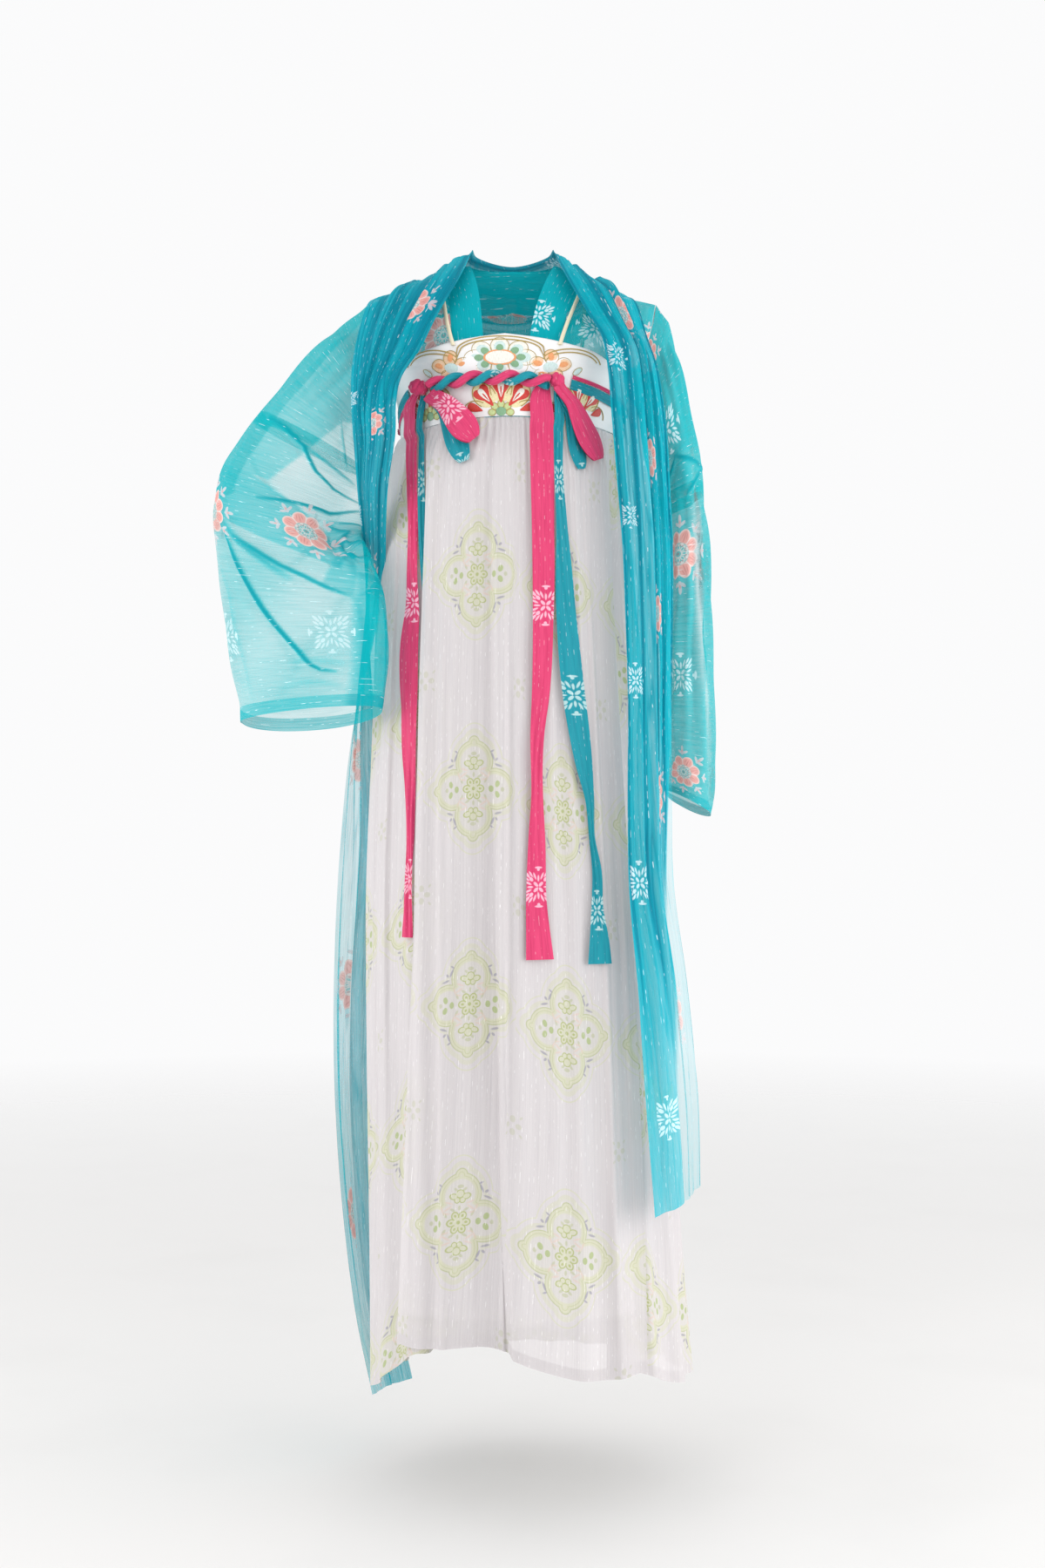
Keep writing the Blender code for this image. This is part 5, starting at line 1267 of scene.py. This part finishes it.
# two thin straps over the shoulders: rows of a height and how far it stands off there
strapLook = {
    "across": (-0.0024, -0.0008, 0.0008, 0.0024),
    "front": ((-0.094, 0.0132), (-0.08, 0.01), (-0.062, 0.005), (-0.044, 0.0032), (-0.026, 0.0034),
              (-0.01, 0.0044), (0.003, 0.0044), (0.009, 0.0038), (0.0112, 0.0034)),
    "back": ((0.0112, 0.0034), (0.009, 0.0036), (0.003, 0.0036), (-0.01, 0.0034), (-0.035, 0.0042),
             (-0.07, 0.0044), (-0.11, 0.005), (-0.1402, 0.0085))}
strapCloth = plainCloth("strap_satin", (0.86, 0.78, 0.58), (0.7, 0.56, 0.3), 2200.0, 300.0, 0.45, 0.3, 0.2, 0.4)


def strapRow(x, z, lift, side, way):
    row = []
    for off in strapLook["across"]:
        top = shoulderZ(x + off)
        place = figurePoint(x + off, min(z, float(top) - 0.0005), side)
        flat = ease((top - z) / shoulderRound)
        out = lift if side == "back" else -lift
        row.append((way * place[0], place[1] + out * flat, place[2] + lift * (1 - flat)))
    return row


for side, way in (("left", 1.0), ("right", -1.0)):
    rows = []
    for z, lift in strapLook["front"]:
        x = mix(0.0635, 0.0925, (z + 0.094) / 0.105) - collarLean * way * ease(-z / 0.08)
        rows.append(strapRow(x, z, lift, "front", way))
    for z, lift in strapLook["back"]:
        rows.append(strapRow(mix(0.0925, 0.085, (0.01 - z) / 0.15), z, lift, "back", way))
    rows = np.array(rows)
    line = np.linspace(0, len(rows) - 1, 90)
    fine = np.stack([[np.interp(line, range(len(rows)), rows[:, k, axis]) for axis in range(3)] for k in range(4)])
    fine = fine.transpose(2, 0, 1)
    out = outwards(fine, fine - (0, 0, -0.2))
    profile = np.array([0.0, 0.0009, 0.0009, 0.0])
    shell = np.concatenate([fine + out * profile[None, :, None], (fine - out * 0.0004)[:, ::-1]], axis=1)
    makeSheet("strap_" + side + "_satin", shell, strapCloth, "strap_cord", ["strap_" + side], closed=True)
print("straps")


# the ties: a pink and a teal ribbon, twisted together, knotted and hanging in loops and tails
tieFinish = {"pink": (tieCloth("tie_pink_cloth", pinkLook, (0.015, 0.27), (0.06, 0.33)), "pink_tie"),
             "teal": (tieCloth("tie_teal_cloth", tealTieLook, (0.01, 0.11), (0.055, 0.255)), "teal_tie")}


def tiePoint(x, z, out):
    # a place in front of the band, some way out from it
    half, depth = bandHalf(z) + bandLift, read(figureTable, "front", z) + bandLift
    share = np.clip(x / half, -0.999, 0.999)
    rest = np.sqrt(1 - share**2)
    slope = unit(np.stack([share / half, -rest / depth], axis=-1))
    return np.stack([x + slope[..., 0] * out, -depth * rest + slope[..., 1] * out, z + 0 * x], axis=-1)


def gathered(centre, radius, flutes, twist, sides=28, depth=0.1):
    # a gathered ribbon: a tube whose section has soft flutes that turn along it
    ahead = unit(np.gradient(centre, axis=0))
    side = unit(np.cross(ahead, np.array([0.0, 0.0, 1.0])))
    up = np.cross(side, ahead)
    angle = np.linspace(0, 2 * math.pi, sides, endpoint=False)[None, :]
    along = np.linspace(0, 1, len(centre))[:, None]
    reach = (radius * (1 - depth + depth * np.abs(np.sin(flutes / 2 * (angle + twist * along))) * 2))[..., None]
    return centre[:, None] + reach * (side[:, None] * np.cos(angle)[..., None] + up[:, None] * np.sin(angle)[..., None])


twistLook = {"from": -0.0912, "to": 0.041, "z": -0.1365, "droop": 0.0045, "out": 0.0108, "apart": 0.0047,
             "radius": 0.0044, "turns": 3.25, "flutes": 7}
share = np.linspace(0, 1, 190)
x = mix(twistLook["from"], twistLook["to"], share)
z = twistLook["z"] - twistLook["droop"] * (2 * share - 1) ** 2
for colour, phase in (("pink", 0.0), ("teal", math.pi)):
    line = tiePoint(x, z, twistLook["out"])
    out = unit(line - tiePoint(x, z, 0.0098))
    turn = phase + 2 * math.pi * twistLook["turns"] * share
    line = line + out * (twistLook["apart"] * np.cos(turn))[:, None]
    line = line + np.array([0, 0, 1.0]) * (twistLook["apart"] * np.sin(turn))[:, None]
    tube = gathered(line, twistLook["radius"], twistLook["flutes"], 5.0)
    makeSheet("tie_twist_" + colour + "_cloth", tube, *tieFinish[colour], ["tie_twist_" + colour], closed=True)

wraps = (  # name, side, angles, heights, width, lift
    ("right_teal", "front", (-88.5, -60.0), (-0.168, -0.144), 0.012, 0.0022),
    ("right_pink", "front", (-88.5, -60.0), (-0.1785, -0.154), 0.007, 0.0022),
    ("left_teal", "front", (29.0, 88.5), (-0.1405, -0.168), 0.012, 0.0022),
    ("left_pink", "front", (29.0, 88.5), (-0.1318, -0.1585), 0.0045, 0.003),
    ("back_teal", "back", (-88.5, 88.5), (-0.168, -0.168), 0.012, 0.0022),
    ("back_pink", "back", (-88.5, 88.5), (-0.1785, -0.1585), 0.007, 0.0041))
for name, side, angles, heights, width, lift in wraps:
    along, across = shares(90, 15)
    folds = 0.0009 * np.abs(np.sin(math.pi * (3 * across + 0.6 * np.sin(7 * along)))) * hump(across) ** 0.4
    grid = bandPoint(mix(*angles, along), mix(*heights, along) + (across - 0.5) * width, side, lift + folds)
    ribbon("tie_wrap_" + name, grid, name.split("_")[1], ["band_" + side + "_satin"])


def seamAt(x):
    return skirtTop(np.degrees(np.arcsin(np.clip(x / 0.14, -1, 1))))


def chestY(x, z):
    lift = frontLift(z)
    return np.where(z > seamAt(x), tiePoint(x, z, 0.0)[..., 1], skirtPoint(angleAt(x, z, lift), z, lift)[..., 1])


bowLoops = (  # name, start, hanging angle, length, widths at the knot and below, lifts, start on the print
    ("right_pink", (-0.09, -0.15), 52.0, 0.072, (0.019, 0.034), (0.0084, 0.02), 0.235),
    ("right_teal", (-0.086, -0.153), 70.0, 0.084, (0.014, 0.027), (0.0027, 0.0064), 0),
    ("left_pink", (0.064, -0.145), 65.0, 0.09, (0.014, 0.028), (0.0088, 0.019), 0),
    ("left_teal", (0.065, -0.157), 78.0, 0.084, (0.009, 0.02), (0.0031, 0.0068), 0))
for name, (startX, startZ), turn, length, widths, (low, high), startV in bowLoops:
    out = np.linspace(0, 1, 36)
    there = np.stack([out, mix(low + 0.0022, high, hump(0.15 + 0.62 * out))], axis=-1)
    half = np.radians(np.linspace(75, -75, 9))
    bend = np.stack([1 + 0.045 * np.cos(half), mix(low, there[-1, 1], 0.5 + 0.5 * np.sin(half))], axis=-1)
    path = np.concatenate([there, bend, np.stack([out[::-1], np.full(36, low)], axis=-1)])
    along, lift = path[:, :1], path[:, 1:]
    inFront = lift > low + 0.001
    edge = np.linspace(-0.5, 0.5, 21)[None, :]
    width = mix(*widths, ease(along * 1.3)) * np.sqrt(1 - (np.clip(along - 0.7, 0, 0.35) / 0.38) ** 2)
    pleat = 0.0021 * np.abs(np.sin(math.pi * (2.2 * (edge + 0.5) + 0.7 * along))) * (1 - 0.45 * along)
    lead = 0.008 * (1 - ease(along / 0.28))  # it leaves the knot sideways and then turns down
    px, pz = turned(startX - lead, startZ, length * along, width * edge, -turn)
    rounded = np.where(inFront, 0.014, 0.0) * edge**2 * hump(np.clip(along, 0, 1)) ** 0.5
    grid = np.stack([px, chestY(px, pz) - lift - pleat * np.where(inFront, 1.0, 0.15) + rounded, pz], axis=-1)
    ribbon("bow_" + name, grid, name.split("_")[1], ["band_front_satin"], startV)

knots = (  # name, place on the band, half sizes, how far out
    ("right", -0.104, -0.141, (0.012, 0.0085, 0.01), 0.0113), ("left", 0.051, -0.1385, (0.0092, 0.008, 0.0098), 0.0095))
for name, x, z, size, out in knots:
    up, around = (each[:, :-1] for each in shares(60, 90))
    lat, lon = math.pi * (up - 0.5) * 0.998, 2 * math.pi * around
    ball = np.stack([np.cos(lat) * np.cos(lon), np.cos(lat) * np.sin(lon), np.sin(lat)], axis=-1)
    wide, high = ball[..., 0], ball[..., 2]
    wrapped = 1 - 0.16 * bell((wide + 0.15 - 0.5 * high) / 0.16) - 0.09 * bell((wide - 0.42 - 0.3 * high) / 0.1)
    wrapped = wrapped + 0.035 * np.sin(9 * high + 5 * wide)
    grid = tiePoint(np.array(x), np.array(z), out) + ball * wrapped[..., None] * size
    makeSheet("knot_" + name + "_cloth", grid, *tieFinish["pink"], ["knot_" + name], closed=True)

tails = {
    "right_pink": metres(
        z=(-146, -154, -178, -219, -261, -303, -365, -407, -449, -532, -574, -616, -680, -740, -798),
        x=(-111, -117, -118, -119.4, -118.4, -117.3, -118, -118, -121.5, -122, -121.3, -120, -120, -121.5,
           -123),
        width=(8, 13, 14.5, 14.6, 12.5, 10.4, 14, 18, 21.5, 20, 17.5, 12, 9.5, 10, 11.5)),
    "right_teal": metres(
        z=(-150, -168, -200, -260, -330, -407, -470),
        x=(-103.5, -105, -106.2, -106.8, -105, -101, -98),
        width=(6, 8, 8, 8, 8.5, 8, 8)),
    "left_pink": metres(
        z=(-140, -152, -185, -230, -310, -410, -514, -555, -636, -676, -757, -798, -820),
        x=(38, 34.5, 35, 35.6, 37, 37.2, 34, 30.2, 30, 29.7, 29.2, 31.8, 33.3),
        width=(13, 21, 27, 27.5, 26.5, 24.5, 20.5, 16.2, 14.5, 19.3, 24.3, 29.4, 32.5)),
    "left_teal": metres(
        z=(-150, -172, -249, -310, -400, -463, -554.5, -595, -636, -677, -717.5, -758, -798.5, -827),
        x=(52.5, 54, 55.2, 59, 63, 68, 79, 85, 91.8, 94.3, 99.5, 100.1, 103, 103.7),
        width=(7, 10, 10, 14, 22, 26.5, 24.5, 20, 11.5, 7.5, 10.5, 13.5, 23.5, 28.5)),
}
tailLook = {"lift": 0.0052, "firstLift": {"right_pink": 0.0041}, "otherLift": 0.0022, "pleat": 0.0008,
            "narrowPleat": 0.0012, "full": 0.024}
for name, table in tails.items():
    side, colour = name.split("_")
    down, across = shares(220, 17)
    z = mix(table["z"][0], table["z"][-1], down)
    width = read(table, "width", z)
    x = read(table, "x", z) + width * (across - 0.5)
    under = frontLift(z) if side == "left" else 0.0
    narrow = np.clip((tailLook["full"] - width) / 0.016, 0, 1)
    pleat = tailLook["pleat"] + tailLook["narrowPleat"] * narrow
    pleat = pleat * np.abs(np.sin(math.pi * (2.2 * across + 0.6 * np.sin(17 * z) + 0.3)))
    wavy = 0.001 * np.sin(38 * z + 4.0 * across) * (0.4 + narrow)
    first = tailLook["firstLift"].get(name, tailLook["otherLift"])
    lift = mix(first, tailLook["lift"], ease((table["z"][0] - z) / 0.03)) + pleat + wavy + 0.0008
    onSkirt = skirtPoint(angleAt(x, z, under + tailLook["lift"]), z, under + lift)
    grid = mix(onSkirt, tiePoint(x, z, lift), ease((z - seamAt(x) + 0.014) / 0.014)[..., None])
    ribbon("tail_" + name, grid, colour, ["skirt_front_cloth"])
print("ties: twist, wraps, bows, knots and tails")


# camera, floor and light
stage = {"floorZ": -1.477, "floorSize": 14.0, "fadeFrom": 1.3, "fadeTo": 4.2, "floor": (0.745, 0.737, 0.728),
         "floorShade": (0.64, 0.632, 0.624), "lens": 48.15, "camera": (0.013, -2.6, -0.6156),
         "air": (0.985, 0.985, 0.99, 1), "airStrength": 0.98}
cameraData = bpy.data.cameras.new("camera")
cameraData.lens = stage["lens"]
cameraData.sensor_width = 36.0
camera = bpy.data.objects.new("camera", cameraData)
camera.location = stage["camera"]
camera.rotation_euler = (math.radians(90), 0, 0)
scene.collection.objects.link(camera)
scene.camera = camera

bpy.ops.mesh.primitive_circle_add(vertices=96, radius=stage["floorSize"] / 2, fill_type="NGON",
                                  location=(0, 0, stage["floorZ"]))
floor = bpy.context.object
floor.name = "floor"
made, wire = startMaterial("pale_floor")
spot = wire.node("ShaderNodeTexCoord", out=3)
scuff = wire.node("ShaderNodeTexNoise", None, {"Vector": spot, "Scale": 3.0, "Detail": 6.0})
tone = wire.colour(stage["floor"]).blended(stage["floorShade"], scuff.clamped(2.0, -1.0) * 0.35)
sockets = {"Base Color": tone, "Roughness": 0.85, "Specular IOR Level": 0.2}
surface = wire.node("ShaderNodeBsdfPrincipled", None, sockets)
clear = wire.node("ShaderNodeBsdfTransparent")
fadeWidth = stage["fadeTo"] - stage["fadeFrom"]
fade = spot.vector("LENGTH", out=1).clamped(1 / fadeWidth, -stage["fadeFrom"] / fadeWidth)
floor.data.materials.append(surfaced(made, wire.node("ShaderNodeMixShader", None, {0: fade, 1: surface, 2: clear})))

world = bpy.data.worlds.new("studio")
scene.world = world
world.use_nodes = True
world.node_tree.nodes["Background"].inputs["Color"].default_value = stage["air"]
world.node_tree.nodes["Background"].inputs["Strength"].default_value = stage["airStrength"]
lights = {  # place, what it points at, size, power
    "key_light": ((-1.8, -2.6, 1.0), (0, 0, -0.6), 1.4, 10), "fill_light": ((2.2, -2.4, 0.0), (0, 0, -0.7), 1.8, 18),
    "side_light_right": ((2.5, -0.5, -0.5), (0, 0, -0.8), 1.8, 30),
    "side_light_left": ((-2.5, -0.5, -0.5), (0, 0, -0.8), 1.8, 26)}
for name, (place, aim, size, power) in lights.items():
    data = bpy.data.lights.new(name, "AREA")
    data.size, data.energy = size, power
    light = bpy.data.objects.new(name, data)
    light.location = place
    x, y, z = np.array(aim) - np.array(place)
    light.rotation_euler = (math.atan2(math.hypot(x, y), -z), 0, math.atan2(x, -y) + math.pi)
    scene.collection.objects.link(light)
